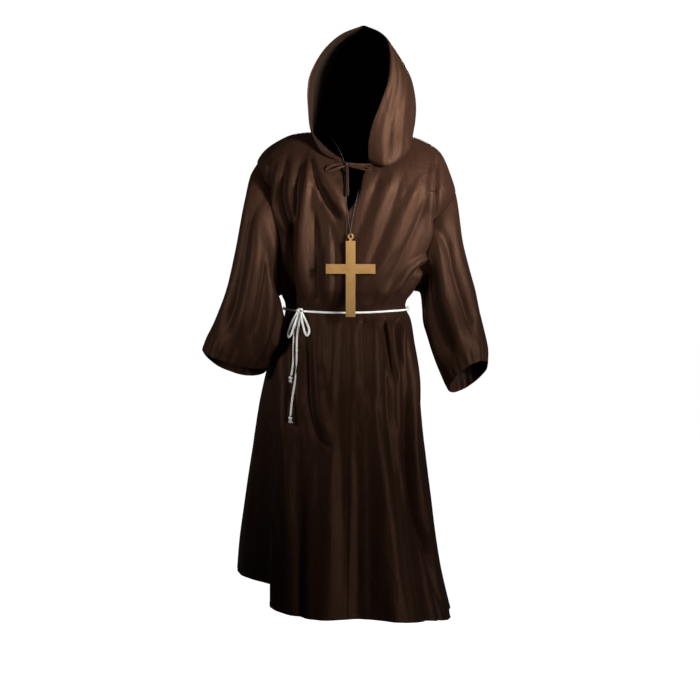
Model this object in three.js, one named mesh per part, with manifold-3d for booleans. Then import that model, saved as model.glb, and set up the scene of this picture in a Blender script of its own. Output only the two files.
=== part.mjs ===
// Hooded monk costume: a long robe with wide sleeves and a raised hood, tied with a rope,
// and a cross on a cord. Millimetres, +Z up, the garment faces -Y, the wearer's right is -X.
// The origin is at the base of the wearer's neck, where the shoulders carry the robe.
import * as THREE from 'three';
import * as BufferGeometryUtils from 'three/addons/utils/BufferGeometryUtils.js';
import Module from 'manifold-3d';

// Driving dimensions
const CLOTH = 1.6;
const SEAM_GAP = 0.3;
const MITRE_LIMIT = 0.3;

const SHOULDER_TIP_DROP = 170;
const UNDERARM_DROP = 430;
const BELT_DROP = 491;
const HEM_DROP = 1310;
const ARMHOLE_HALF_DEPTH = 88;
const CENTRE_SEAM_X = -13;
const SLIT_BOTTOM_DROP = 222;

// Shares of a fold's length over which it rises and dies away, the drops above and below the
// belt between which folds fade out, and how squarely a point faces front before folds start.
const FOLD_RISE = 0.18;
const FOLD_FALL = 0.88;
const BELT_FADE = { none: 6, full: 46 };
const FRONT_FADE = { none: 0.02, full: 0.3 };
// Share of a sleeve's length over which it turns from the armhole's shape into its own.
const ARMHOLE_BLEND = 0.35;

const YOKE_ROWS = 5;
const ARMHOLE_ROWS = 10;
const WAIST_ROWS = 4;
const SKIRT_ROWS = 14;
const FRONT_COLUMNS = 14;
const BACK_COLUMNS = 24;
const SLEEVE_ROWS = 13;
const HOOD_ROWS = 11;

const ROPE_RADIUS = 3;
const ROPE_SIDES = 8;
const BOW_KNOT = { x: -142.4, y: -99.5, z: -487, length: 24, depth: 17, height: 16, heading: -51.5 };
const END_KNOT_RADIUS = 6;
const FRAY = { strands: 9, length: 15, radius: 1, spread: 5 };
const THREAD_RADIUS = 0.7;
const CARRIER = { standOff: 9, halfHeight: 9 };
const CORD_RADIUS = 0.75;
const TIE = { width: 9, thickness: 1.8 };

const CROSS = { width: 133, height: 204, bar: 26, thickness: 7, armBelowTop: 75, bevel: 0.6 };
const RING = { radius: 6, wire: 2, stemWidth: 7, stemLength: 8 };
const RING_TOP = { x: -4, y: -161.5, z: -280 };

const BROWN = { color: 0x4a2f22, roughness: 0.55, metalness: 0 };
const WHITE_ROPE = { color: 0xe8e4dc, roughness: 0.9, metalness: 0 };
const BLACK_CORD = { color: 0x15120f, roughness: 0.7, metalness: 0 };
const GOLD = { color: 0xb98f52, roughness: 0.45, metalness: 0.6 };

// Tables. Each body row is a section round the robe, named by how far its front lies below the
// origin: x of both sides, y of front and back, and the heights and depths of the sides and back.
const BODY = table(
  ['drop', 'left', 'right', 'front', 'back', 'zLeft', 'zRight', 'zBack', 'yLeft', 'yRight', 'square'],
  [
    [88, -112, 164, -112, 92, 8, -4, 18, -6, -6, 1.0],
    [104, -165, 192, -124, 106, 1, -14, -2, -4, -4, 0.98],
    [120, -204, 226, -134, 114, -16, -32, -25, -2, -2, 0.96],
    [136, -233, 250, -141, 120, -35, -56, -50, 0, 0, 0.94],
    [152, -251, 269, -147, 124, -54, -98, -76, 0, 0, 0.92],
    [170, -262, 287, -150, 127, -78, -157, -106, 0, 0, 0.9],
    [235, -240, 260, -152, 130, -168, -225, -190, 0, 0, 0.86],
    [300, -228, 240, -152, 132, -259, -293, -280, 0, 0, 0.84],
    [365, -214, 213, -152, 133, -350, -361, -360, 0, 0, 0.84],
    [430, -194, 172, -148, 132, -440, -430, -430, 6, 0, 0.86],
    [462, -186, 151, -135, 124, -463, -457, -458, 12, 0, 0.88],
    [491, -184, 148, -122, 114, -481, -481, -481, 15, 0, 0.9],
    [520, -190, 162, -134, 124, -508, -510, -510, 18, 0, 0.9],
    [560, -204, 170, -147, 136, -548, -552, -550, 20, 0, 0.88],
    [640, -230, 181, -162, 150, -624, -636, -632, 22, 0, 0.86],
    [720, -250, 188, -172, 162, -702, -720, -712, 26, 0, 0.86],
    [800, -266, 195, -180, 175, -778, -804, -792, 38, 0, 0.86],
    [900, -282, 207, -188, 192, -874, -910, -892, 62, 0, 0.86],
    [1000, -299, 220, -196, 210, -968, -1016, -990, 108, -4, 0.86],
    [1100, -315, 232, -204, 230, -1062, -1122, -1090, 156, -8, 0.86],
    [1200, -331, 248, -212, 252, -1158, -1228, -1188, 206, -14, 0.86],
    [1310, -344, 274, -222, 272, -1262, -1344, -1300, 262, -20, 0.86],
  ],
);

// The neck slit's two edges, down to where they meet the centre-front seam.
const SLIT = table(['drop', 'right', 'left'], [
  [88, -26, 58],
  [98, -26, 46],
  [112, -25, 34],
  [133, -23, 28],
  [166, -19, 22],
  [191, -16, 10],
  [222, CENTRE_SEAM_X, CENTRE_SEAM_X],
]);

// Sleeve rings: the outer and inner points as seen from the front, the ring's middle and half
// depth, how far its front is lifted and how far its back sags.
const SLEEVE_COLUMNS = ['along', 'outX', 'outZ', 'inX', 'inZ', 'midY', 'halfY', 'lift', 'sag'];
const SLEEVE_RIGHT = table(SLEEVE_COLUMNS, [
  [0, -262, -78, -194, -440, 0, 88, 0, 0],
  [0.12, -280, -114, -207, -449, -22, 90, 0, 0],
  [0.26, -293, -178, -196, -474, -50, 90, 0, 0],
  [0.4, -306, -250, -194, -504, -60, 88, 0, 0],
  [0.55, -322, -335, -200, -538, -64, 86, 0, 2],
  [0.7, -344, -428, -209, -572, -66, 84, -2, 10],
  [0.84, -376, -512, -221, -606, -66, 80, -6, 24],
  [0.93, -398, -560, -230, -628, -70, 74, -10, 36],
  [1, -410, -594, -236, -640, -72, 66, -14, 46],
]);
const SLEEVE_LEFT = table(SLEEVE_COLUMNS, [
  [0, 287, -157, 172, -430, 0, 88, 0, 0],
  [0.12, 292, -186, 191, -437, -6, 90, 0, 0],
  [0.26, 296, -232, 197, -478, -10, 88, 0, 0],
  [0.4, 304, -300, 200, -520, -18, 84, 0, 0],
  [0.55, 322, -376, 211, -560, -26, 80, 2, 2],
  [0.7, 342, -452, 224, -602, -34, 78, 8, 6],
  [0.84, 362, -530, 243, -652, -42, 74, 18, 14],
  [0.93, 375, -592, 258, -684, -46, 68, 28, 24],
  [1, 374, -640, 270, -702, -50, 60, 36, 32],
]);

// Hood sections from the neck seam (0) to the crown seam (1): the front rim, the side and the
// centre-back seam, each as x, y and z.
const HOOD_COLUMNS = [
  'up', 'rimX', 'rimY', 'rimZ', 'sideX', 'sideY', 'sideZ', 'backX', 'backY', 'backZ',
];
const HOOD_RIGHT = table(HOOD_COLUMNS, [
  [0, -26, -112, -88, -112, -6, 8, 26, 92, 18],
  [0.1, -60, -112, -70, -111, -6, 26, 27, 101, 46],
  [0.2, -94, -94, -34, -110, -4, 52, 28, 108, 78],
  [0.3, -112, -86, 6, -108, -2, 82, 29, 113, 110],
  [0.42, -119, -88, 58, -107, 0, 112, 30, 116, 145],
  [0.56, -121, -93, 112, -104, 0, 146, 31, 115, 178],
  [0.7, -112, -97, 160, -93, 0, 184, 32, 108, 208],
  [0.85, -76, -100, 222, -62, 0, 232, 32, 92, 236],
  [0.93, -29, -102, 262, -20, 0, 264, 33, 82, 250],
  [1, 32, -103, 285, 33, 0, 284, 33, 72, 258],
]);
const HOOD_LEFT = table(HOOD_COLUMNS, [
  [0, 58, -112, -88, 164, -6, -4, 26, 92, 18],
  [0.1, 44, -124, -66, 169, -10, 16, 27, 101, 46],
  [0.2, 45, -128, -24, 172, -12, 44, 28, 108, 78],
  [0.3, 56, -128, 20, 174, -12, 74, 29, 113, 110],
  [0.42, 78, -126, 76, 171, -10, 108, 30, 116, 145],
  [0.56, 97, -120, 134, 163, -6, 146, 31, 115, 178],
  [0.7, 103, -114, 184, 149, 0, 186, 32, 108, 208],
  [0.85, 98, -106, 238, 112, 0, 236, 32, 92, 236],
  [0.93, 76, -104, 266, 78, 0, 264, 33, 82, 250],
  [1, 32, -103, 285, 33, 0, 284, 33, 72, 258],
]);

// Folds of the front as lines seen from the front: ends, half width and height at each end.
const FRONT_FOLDS = table(
  ['x0', 'z0', 'x1', 'z1', 'bow', 'width', 'from', 'to'],
  [
    [-113, -44, -130, -470, -6, 13, 9, 8],
    [-104, -50, -20, -218, 0, 15, 10, 8],
    [-104, -140, -30, -232, -4, 13, -8, -8],
    [-170, -112, -184, -214, -12, 14, 6, 5],
    [-152, -118, -150, -192, 0, 12, -6, -5],
    [-214, -104, -170, -376, 6, 16, 5, 8],
    [-160, -236, -154, -462, 0, 13, -11, -14],
    [97, -126, 32, -276, 4, 15, 7, 7],
    [170, -168, 14, -424, 16, 17, 8, 5],
    [206, -330, 52, -452, 20, 16, 6, 8],
    [190, -362, 84, -446, 16, 14, -4, -6],
    [166, -352, 134, -440, -4, 16, 6, 10],
    [214, -92, 222, -326, 0, 12, 7, 8],
    [37, -512, 37, -650, 0, 10, -7, -3],
    [66, -512, 68, -700, 0, 15, 9, 4],
    [98, -512, 112, -640, 0, 11, -11, -5],
    [130, -516, 136, -660, 0, 12, 9, 4],
    [152, -540, 150, -860, 6, 16, -8, -10],
    [150, -840, 246, -1400, -8, 20, -10, -12],
    [-122, -560, -98, -770, 4, 13, -9, -9],
    [-74, -530, -82, -830, 2, 18, 7, 8],
    [-30, -560, -36, -1000, 0, 22, -4, -6],
    [6, -560, 13, -1500, 0, 28, 4, -30],
    [60, -720, 162, -1500, 0, 60, 4, 56],
    [-50, -820, -80, -1500, 0, 36, 3, 16],
    [110, -780, 220, -1500, 4, 26, -5, -12],
    [-160, -640, -176, -1180, 0, 22, 6, 10],
  ],
);

// Folds of the sides and back: where they run round the robe, as a share of a turn from the
// wearer's left side by way of the back, and how far down.
const ROUND_FOLDS = table(
  ['turn0', 'drop0', 'turn1', 'drop1', 'width', 'from', 'to'],
  [
    [0.576, 700, 0.59, 1500, 0.044, 0, -150],
    [0.05, 540, 0.045, 1500, 0.02, 6, 19],
    [0.09, 520, 0.1, 1500, 0.018, -7, -19],
    [0.135, 530, 0.155, 1500, 0.022, 8, 23],
    [0.18, 520, 0.205, 1500, 0.018, -8, -17],
    [0.225, 540, 0.25, 1500, 0.022, 7, 21],
    [0.275, 520, 0.295, 1500, 0.018, -8, -19],
    [0.32, 530, 0.34, 1500, 0.022, 8, 24],
    [0.365, 520, 0.39, 1500, 0.018, -7, -18],
    [0.415, 540, 0.435, 1500, 0.02, 6, 19],
    [0.12, 200, 0.17, 450, 0.02, 6, 9],
    [0.2, 180, 0.22, 455, 0.016, -5, -8],
    [0.3, 180, 0.28, 455, 0.016, -5, -8],
    [0.36, 200, 0.33, 450, 0.02, 6, 9],
  ],
);

// Folds of a sleeve: where they run round it, as a share of a turn from its outer line by way
// of the front, and how far along.
const SLEEVE_FOLD_COLUMNS = ['turn0', 'along0', 'turn1', 'along1', 'width', 'from', 'to'];
const SLEEVE_RIGHT_FOLDS = table(SLEEVE_FOLD_COLUMNS, [
  [0.1, 0.12, 0.16, 0.9, 0.05, 6, 9],
  [0.24, 0.2, 0.27, 0.86, 0.045, -7, -9],
  [0.37, 0.1, 0.4, 0.92, 0.05, 7, 12],
  [0.62, 0.15, 0.6, 0.9, 0.05, -6, -8],
  [0.76, 0.12, 0.72, 0.92, 0.05, 7, 10],
  [0.88, 0.2, 0.86, 0.86, 0.045, -6, -7],
]);
const SLEEVE_LEFT_FOLDS = table(SLEEVE_FOLD_COLUMNS, [
  [0.12, 0.1, 0.08, 0.86, 0.05, 6, 8],
  [0.24, 0.14, 0.22, 0.9, 0.045, -6, -7],
  [0.36, 0.08, 0.36, 0.92, 0.05, 7, 10],
  [0.62, 0.15, 0.6, 0.9, 0.05, -6, -8],
  [0.76, 0.12, 0.72, 0.92, 0.05, 7, 10],
  [0.88, 0.2, 0.86, 0.86, 0.045, -6, -7],
]);

// Tables and interpolation
function table(columns, rows) {
  return rows.map((row) => Object.fromEntries(columns.map((name, i) => [name, row[i]])));
}

// A smooth curve through a table's rows, read by its first column.
function sample(rows, key, value) {
  const last = rows.length - 1;
  const t = THREE.MathUtils.clamp(value, rows[0][key], rows[last][key]);
  let i = 0;
  while (i < last - 1 && rows[i + 1][key] < t) i += 1;
  const span = rows[i + 1][key] - rows[i][key];
  const u = (t - rows[i][key]) / span;
  const slope = (k, name) => {
    const a = rows[Math.max(k - 1, 0)];
    const b = rows[Math.min(k + 1, last)];
    return (b[name] - a[name]) / (b[key] - a[key]);
  };
  const result = {};
  for (const name of Object.keys(rows[0])) {
    const p0 = rows[i][name];
    const p1 = rows[i + 1][name];
    const m0 = slope(i, name) * span;
    const m1 = slope(i + 1, name) * span;
    result[name] = (2 * u ** 3 - 3 * u ** 2 + 1) * p0 + (u ** 3 - 2 * u ** 2 + u) * m0
      + (3 * u ** 2 - 2 * u ** 3) * p1 + (u ** 3 - u ** 2) * m1;
  }
  return result;
}

// The value between low and high where a rising or falling function crosses zero.
function solve(difference, low, high) {
  const sign = Math.sign(difference(low)) || -Math.sign(difference(high));
  for (let i = 0; i < 40; i += 1) {
    const middle = (low + high) / 2;
    if (Math.sign(difference(middle)) === sign) low = middle;
    else high = middle;
  }
  return (low + high) / 2;
}

// The whole numbers from 0 to count.
function range(count) {
  return Array.from({ length: count + 1 }, (_, i) => i);
}

const power = (value, exponent) => Math.sign(value) * Math.abs(value) ** exponent;
const fadeIn = (value, start, end) => THREE.MathUtils.smoothstep(value, start, end);

// Height of a fold at a point along and across it.
function foldHeight(fold, along, across) {
  if (along <= 0 || along >= 1) return 0;
  const ends = fadeIn(along, 0, FOLD_RISE) * (1 - fadeIn(along, FOLD_FALL, 1));
  return THREE.MathUtils.lerp(fold.from, fold.to, along) * ends * Math.exp(-(across ** 2));
}

// Robe
// turn runs from the wearer's left side (0) by the back (0.25), the right side (0.5) and the
// front (0.75) to the left side again.
function robeSection(drop, turn) {
  const s = sample(BODY, 'drop', drop);
  const c = Math.cos(turn * 2 * Math.PI);
  const n = Math.sin(turn * 2 * Math.PI);
  const middle = (s.left + s.right) / 2;
  const half = (s.right - s.left) / 2;
  const sideY = THREE.MathUtils.lerp(s.yLeft, s.yRight, (1 + c) / 2);
  const reach = (n < 0 ? s.front : s.back) - sideY;
  const sideZ = c < 0 ? s.zLeft : s.zRight;
  const endZ = n < 0 ? -drop : s.zBack;
  return new THREE.Vector3(
    middle + half * power(c, s.square),
    sideY + reach * Math.abs(n) ** s.square,
    endZ * n ** 2 + sideZ * c ** 2,
  );
}

function robePoint(drop, turn) {
  const point = robeSection(drop, turn);
  const step = 0.002;
  const tangent = robeSection(drop, turn + step).sub(robeSection(drop, turn - step));
  const outward = new THREE.Vector3(tangent.y, -tangent.x, 0).normalize();
  let height = 0;
  const belt = fadeIn(Math.abs(drop - BELT_DROP), BELT_FADE.none, BELT_FADE.full);
  if (Math.sin(turn * 2 * Math.PI) < 0) {
    const front = fadeIn(-Math.sin(turn * 2 * Math.PI), FRONT_FADE.none, FRONT_FADE.full);
    for (const fold of FRONT_FOLDS) {
      const dx = fold.x1 - fold.x0;
      const dz = fold.z1 - fold.z0;
      const length = Math.hypot(dx, dz);
      const along = ((point.x - fold.x0) * dx + (point.z - fold.z0) * dz) / length ** 2;
      const side = ((point.x - fold.x0) * dz - (point.z - fold.z0) * dx) / length;
      const across = (side + fold.bow * 4 * along * (1 - along)) / fold.width;
      height += foldHeight(fold, along, across) * front;
    }
  }
  for (const fold of ROUND_FOLDS) {
    const along = (drop - fold.drop0) / (fold.drop1 - fold.drop0);
    const centre = THREE.MathUtils.lerp(fold.turn0, fold.turn1, along);
    height += foldHeight(fold, along, (turn - centre) / fold.width);
  }
  return point.addScaledVector(outward, height * belt);
}

// Rows of the robe: even through the yoke, waist and skirt, and round the armhole as its oval
// turns.
function robeRows() {
  const rows = [];
  const top = BODY[0].drop;
  for (let i = 0; i < YOKE_ROWS; i += 1) {
    rows.push({ drop: top + (SHOULDER_TIP_DROP - top) * (i / YOKE_ROWS), oval: 0 });
  }
  for (let i = 0; i < ARMHOLE_ROWS; i += 1) {
    const angle = Math.PI * (i / ARMHOLE_ROWS);
    const share = (1 - Math.cos(angle)) / 2;
    rows.push({
      drop: SHOULDER_TIP_DROP + (UNDERARM_DROP - SHOULDER_TIP_DROP) * share,
      oval: Math.sin(angle),
    });
  }
  for (let i = 0; i < WAIST_ROWS; i += 1) {
    const share = i / WAIST_ROWS;
    rows.push({ drop: UNDERARM_DROP + (2 * (BELT_DROP - UNDERARM_DROP)) * share, oval: 0 });
  }
  const skirtTop = 2 * BELT_DROP - UNDERARM_DROP;
  for (let i = 0; i <= SKIRT_ROWS; i += 1) {
    rows.push({ drop: skirtTop + (HEM_DROP - skirtTop) * (i / SKIRT_ROWS), oval: 0 });
  }
  return rows;
}

const SIDE_TURNS = { left: 0, right: 0.5, leftAgain: 1 };
const SIDE_SEARCH = 0.2;
const CENTRE_SEARCH = { from: 0.6, to: 0.9 };

// The turn at which a panel ends at its side: the seam, or the armhole's oval.
function sideTurn(row, seamTurn, towards) {
  if (row.oval < 1e-6) return seamTurn;
  const seamY = robeSection(row.drop, seamTurn).y;
  const front = Math.sin(2 * Math.PI * (seamTurn + towards)) < 0;
  const target = seamY + (front ? -1 : 1) * ARMHOLE_HALF_DEPTH * row.oval;
  return solve((turn) => robeSection(row.drop, turn).y - target, seamTurn, seamTurn + towards);
}

function centreTurn(drop, side) {
  const x = sample(SLIT, 'drop', Math.min(drop, SLIT_BOTTOM_DROP))[side];
  return solve((turn) => robeSection(drop, turn).x - x, CENTRE_SEARCH.from, CENTRE_SEARCH.to);
}

function panel(columns, edges) {
  return robeRows().map((row) => {
    const [start, end] = edges(row);
    return range(columns).map((j) => robePoint(row.drop, start + (end - start) * (j / columns)));
  });
}

const frontRight = panel(FRONT_COLUMNS, (row) => [
  sideTurn(row, SIDE_TURNS.right, SIDE_SEARCH), centreTurn(row.drop, 'right'),
]);
const frontLeft = panel(FRONT_COLUMNS, (row) => [
  centreTurn(row.drop, 'left'), sideTurn(row, SIDE_TURNS.leftAgain, -SIDE_SEARCH),
]);
const back = panel(BACK_COLUMNS, (row) => [
  sideTurn(row, SIDE_TURNS.left, SIDE_SEARCH), sideTurn(row, SIDE_TURNS.right, -SIDE_SEARCH),
]);

// Sleeves
// The armhole as one loop: down the front panel's edge from the shoulder tip and up the back's.
function armhole(frontPanel, frontColumn, backColumn) {
  const loop = [];
  for (let i = 0; i <= ARMHOLE_ROWS; i += 1) loop.push(frontPanel[YOKE_ROWS + i][frontColumn]);
  for (let i = ARMHOLE_ROWS - 1; i > 0; i -= 1) loop.push(back[YOKE_ROWS + i][backColumn]);
  return loop;
}

function sleeveSection(rows, along, turn) {
  const s = sample(rows, 'along', along);
  const c = Math.cos(turn * 2 * Math.PI);
  const n = Math.sin(turn * 2 * Math.PI);
  return new THREE.Vector3(
    (s.outX + s.inX) / 2 + c * (s.outX - s.inX) / 2,
    s.midY - n * s.halfY,
    (s.outZ + s.inZ) / 2 + c * (s.outZ - s.inZ) / 2 + n * (n > 0 ? s.lift : s.sag),
  );
}

function sleeve(rows, folds, loop) {
  return range(SLEEVE_ROWS).map((i) => {
    const along = i / SLEEVE_ROWS;
    return loop.map((start, j) => {
      const turn = j / loop.length;
      const point = sleeveSection(rows, along, turn);
      const middle = sleeveSection(rows, along, 0).add(sleeveSection(rows, along, 0.5));
      const outward = point.clone().addScaledVector(middle, -0.5).normalize();
      let height = 0;
      for (const fold of folds) {
        const share = (along - fold.along0) / (fold.along1 - fold.along0);
        const centre = THREE.MathUtils.lerp(fold.turn0, fold.turn1, share);
        height += foldHeight(fold, share, (turn - centre) / fold.width);
      }
      point.addScaledVector(outward, height);
      const seat = start.clone().sub(sleeveSection(rows, 0, turn));
      return point.addScaledVector(seat, 1 - fadeIn(along, 0, ARMHOLE_BLEND));
    });
  });
}

const sleeveRight = sleeve(
  SLEEVE_RIGHT, SLEEVE_RIGHT_FOLDS, armhole(frontRight, 0, BACK_COLUMNS));
const sleeveLeft = sleeve(SLEEVE_LEFT, SLEEVE_LEFT_FOLDS, armhole(frontLeft, FRONT_COLUMNS, 0));

// Hood
function hoodSection(rows, up, column) {
  const s = sample(rows, 'up', up);
  const front = column <= FRONT_COLUMNS;
  const angle = front
    ? (1 - column / FRONT_COLUMNS) * Math.PI / 2
    : (column - FRONT_COLUMNS) / (BACK_COLUMNS / 2) * Math.PI / 2;
  const end = front ? [s.rimX, s.rimY, s.rimZ] : [s.backX, s.backY, s.backZ];
  const n = Math.sin(angle);
  return new THREE.Vector3(
    end[0] + (s.sideX - end[0]) * Math.cos(angle),
    s.sideY + (end[1] - s.sideY) * n,
    s.sideZ + (end[2] - s.sideZ) * n ** 2,
  );
}

function hoodHalf(rows, neck) {
  return range(HOOD_ROWS).map((i) => {
    const up = i / HOOD_ROWS;
    return neck.map((seam, j) => {
      const shift = seam.clone().sub(hoodSection(rows, 0, j));
      return hoodSection(rows, up, j).addScaledVector(shift, (1 - up) ** 4);
    });
  });
}

const backMiddle = BACK_COLUMNS / 2;
const hoodRight = hoodHalf(HOOD_RIGHT, [
  ...frontRight[0].slice().reverse(), ...back[0].slice(backMiddle, BACK_COLUMNS).reverse(),
]);
const hoodLeft = hoodHalf(HOOD_LEFT, [
  ...frontLeft[0], ...back[0].slice(1, backMiddle + 1),
]);

// Cloth walls
// facing is the sign that turns a grid's own normals into the garment.
const sheets = [
  { name: 'front_right', grid: frontRight, facing: -1, seams: ['top', 'first', 'last'] },
  { name: 'front_left', grid: frontLeft, facing: -1, seams: ['top', 'first', 'last'] },
  { name: 'back', grid: back, facing: -1, seams: ['top', 'first', 'last'] },
  { name: 'sleeve_right', grid: sleeveRight, facing: -1, seams: ['top'], closed: true },
  { name: 'sleeve_left', grid: sleeveLeft, facing: 1, seams: ['top'], closed: true },
  { name: 'hood_right', grid: hoodRight, facing: -1, seams: ['top', 'bottom', 'last'] },
  { name: 'hood_left', grid: hoodLeft, facing: 1, seams: ['top', 'bottom', 'last'] },
];

const placeKey = (p) => p.toArray().map((v) => `${Math.round(v * 100)}`).join(' ');

// Normals of every sheet, added up where sheets share a seam point, so that both walls are cut
// back along the same line there.
function seamNormals(list) {
  const sums = new Map();
  for (const { grid, facing, closed } of list) {
    const across = grid[0].length;
    for (let i = 0; i + 1 < grid.length; i += 1) {
      for (let j = 0; j < (closed ? across : across - 1); j += 1) {
        const k = (j + 1) % across;
        const d1 = grid[i + 1][k].clone().sub(grid[i][j]);
        const d2 = grid[i + 1][j].clone().sub(grid[i][k]);
        const normal = d1.cross(d2).multiplyScalar(-facing);
        for (const corner of [grid[i][j], grid[i][k], grid[i + 1][j], grid[i + 1][k]]) {
          const key = placeKey(corner);
          if (!sums.has(key)) sums.set(key, new THREE.Vector3());
          sums.get(key).add(normal);
        }
      }
    }
  }
  return sums;
}

// Moves a grid's seam edges back by half the gap, square to the seam and within the sheet.
function parted(grid, seams, closed) {
  const last = grid.length - 1;
  const across = grid[0].length;
  const moves = new Map();
  const edge = (a, b, c, d) => {
    const [pa, pb, pc, pd] = [a, b, c, d].map(([i, j]) => grid[i][j]);
    const along = pb.clone().sub(pa).normalize();
    const inward = pc.clone().add(pd).sub(pa).sub(pb);
    inward.addScaledVector(along, -inward.dot(along)).normalize();
    for (const [i, j] of [a, b]) {
      const key = i * across + j;
      if (!moves.has(key)) moves.set(key, []);
      moves.get(key).push(inward);
    }
  };
  for (let j = 0; j < (closed ? across : across - 1); j += 1) {
    const k = (j + 1) % across;
    if (seams.includes('top')) edge([0, j], [0, k], [1, j], [1, k]);
    if (seams.includes('bottom')) edge([last, j], [last, k], [last - 1, j], [last - 1, k]);
  }
  for (let i = 0; i < last; i += 1) {
    if (seams.includes('first')) edge([i, 0], [i + 1, 0], [i, 1], [i + 1, 1]);
    if (seams.includes('last')) {
      edge([i, across - 1], [i + 1, across - 1], [i, across - 2], [i + 1, across - 2]);
    }
  }
  return grid.map((row, i) => row.map((point, j) => {
    const ways = moves.get(i * across + j) || [];
    if (ways.length === 0) return point.clone();
    const sum = ways.reduce((total, way) => total.add(way), new THREE.Vector3());
    const mitre = ways.length === 1 ? 1 : 1 / Math.max(1 + ways[0].dot(ways[1]), MITRE_LIMIT);
    return point.clone().addScaledVector(sum, mitre * SEAM_GAP / 2);
  }));
}

// A closed wall: the grid is the cloth's inner face, and the outer face and rims are added to it.
function wall({ grid, seams, closed }, normals) {
  const inner = parted(grid, seams, closed);
  const rows = grid.length;
  const across = grid[0].length;
  const points = [];
  for (const side of [0, 1]) {
    for (let i = 0; i < rows; i += 1) {
      for (let j = 0; j < across; j += 1) {
        const normal = normals.get(placeKey(grid[i][j])).clone().normalize();
        points.push(inner[i][j].clone().addScaledVector(normal, -CLOTH * side));
      }
    }
  }
  const at = (side, i, j) => side * rows * across + i * across + (j % across);
  const faces = [];
  const quad = (a, b, c, d) => faces.push(a, b, c, a, c, d);
  const spans = closed ? across : across - 1;
  for (let i = 0; i + 1 < rows; i += 1) {
    for (let j = 0; j < spans; j += 1) {
      quad(at(0, i, j), at(0, i + 1, j), at(0, i + 1, j + 1), at(0, i, j + 1));
      quad(at(1, i, j), at(1, i, j + 1), at(1, i + 1, j + 1), at(1, i + 1, j));
    }
    if (!closed) {
      quad(at(0, i, 0), at(1, i, 0), at(1, i + 1, 0), at(0, i + 1, 0));
      quad(at(0, i, spans), at(0, i + 1, spans), at(1, i + 1, spans), at(1, i, spans));
    }
  }
  for (let j = 0; j < spans; j += 1) {
    quad(at(0, 0, j), at(0, 0, j + 1), at(1, 0, j + 1), at(1, 0, j));
    quad(at(0, rows - 1, j), at(1, rows - 1, j), at(1, rows - 1, j + 1), at(0, rows - 1, j + 1));
  }
  return solid(points, faces);
}

// A geometry from points and faces, with its faces turned outwards.
function solid(points, faces) {
  let volume = 0;
  for (let i = 0; i < faces.length; i += 3) {
    const [a, b, c] = [points[faces[i]], points[faces[i + 1]], points[faces[i + 2]]];
    volume += a.dot(b.clone().cross(c));
  }
  const index = volume < 0 ? faces.slice().reverse() : faces;
  const geometry = new THREE.BufferGeometry();
  geometry.setAttribute('position', new THREE.Float32BufferAttribute(
    points.flatMap((p) => [p.x, p.y, p.z]), 3));
  geometry.setIndex(index);
  return geometry;
}

// Assembly
const costume = new THREE.Group();

function add(name, geometry, finish) {
  const mesh = new THREE.Mesh(geometry, new THREE.MeshStandardMaterial(finish));
  mesh.name = name;
  costume.add(mesh);
  return mesh;
}

const normals = seamNormals(sheets);
for (const sheet of sheets) add(sheet.name, wall(sheet, normals), BROWN);

// Rope, cord and thread
// Routes are lists of points along the middle of each.
const WAIST_ROUTE = [
  [-147.6, -87, -486.5], [-155.8, -79.6, -486], [-171, -60, -484], [-180.5, -43.3, -483],
  [-187.6, -22, -482],
  [-190.5, 0, -481], [-191.5, 22, -481], [-187, 45, -480], [-175, 65, -480], [-158.4, 82, -480],
  [-120.7, 103.5, -480], [-83.8, 114.5, -480], [-49.9, 119.5, -480], [-18, 121, -480],
  [13.9, 119.5, -480], [47.6, 114.2, -480], [83.7, 102.5, -480], [119.3, 80, -479],
  [136, 62, -479], [146.5, 43.8, -479], [152, 22, -479], [153.5, 0, -480], [152, -22, -481.5],
  [148, -44.3, -483.6], [138, -64, -485], [122.7, -82, -486], [87.8, -106.5, -488], [51.2, -120.5, -490],
  [15.9, -127, -491], [-18, -129, -491.5], [-51.9, -127, -491.2], [-87, -120.2, -490],
  [-118, -107.5, -488.5], [-132.5, -109.2, -487.5],
];
const LEFT_LOOP_ROUTE = [
  [-148, -101, -489], [-155, -101, -500], [-164, -98, -518], [-172, -96, -537], [-175, -97, -550],
  [-172, -102, -559], [-166.5, -107, -552], [-161, -108.5, -536], [-155, -108, -518],
  [-149, -106, -502], [-144, -103, -489],
];
const RIGHT_LOOP_ROUTE = [
  [-138, -106, -489], [-132, -111, -500], [-124, -119, -516], [-117, -128, -534], [-117, -134, -546],
  [-122, -135.5, -553], [-128, -132, -545], [-132, -125, -530], [-136, -117, -514],
  [-138, -113, -501], [-140, -107, -489],
];
const SHORT_TAIL_ROUTE = [
  [-144.9, -97.2, -495.4], [-146.5, -97.5, -506], [-151, -99, -518], [-154.5, -101.5, -532],
  [-157, -108.5, -548], [-158, -115.5, -564], [-159, -122.5, -586], [-159, -130.5, -609],
  [-160, -137, -632], [-163, -142, -652], [-165, -144, -661.5],
];
const LONG_TAIL_ROUTE = [
  [-139.9, -100.8, -496], [-142, -102.8, -508], [-146, -108, -530], [-149, -116, -552],
  [-150, -125, -575], [-150, -133, -600], [-150, -140, -625], [-151, -146, -650],
  [-153, -150.5, -672], [-157, -154.5, -696], [-161, -159, -720], [-164, -162.5, -745],
  [-166, -166, -769],
];
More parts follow.
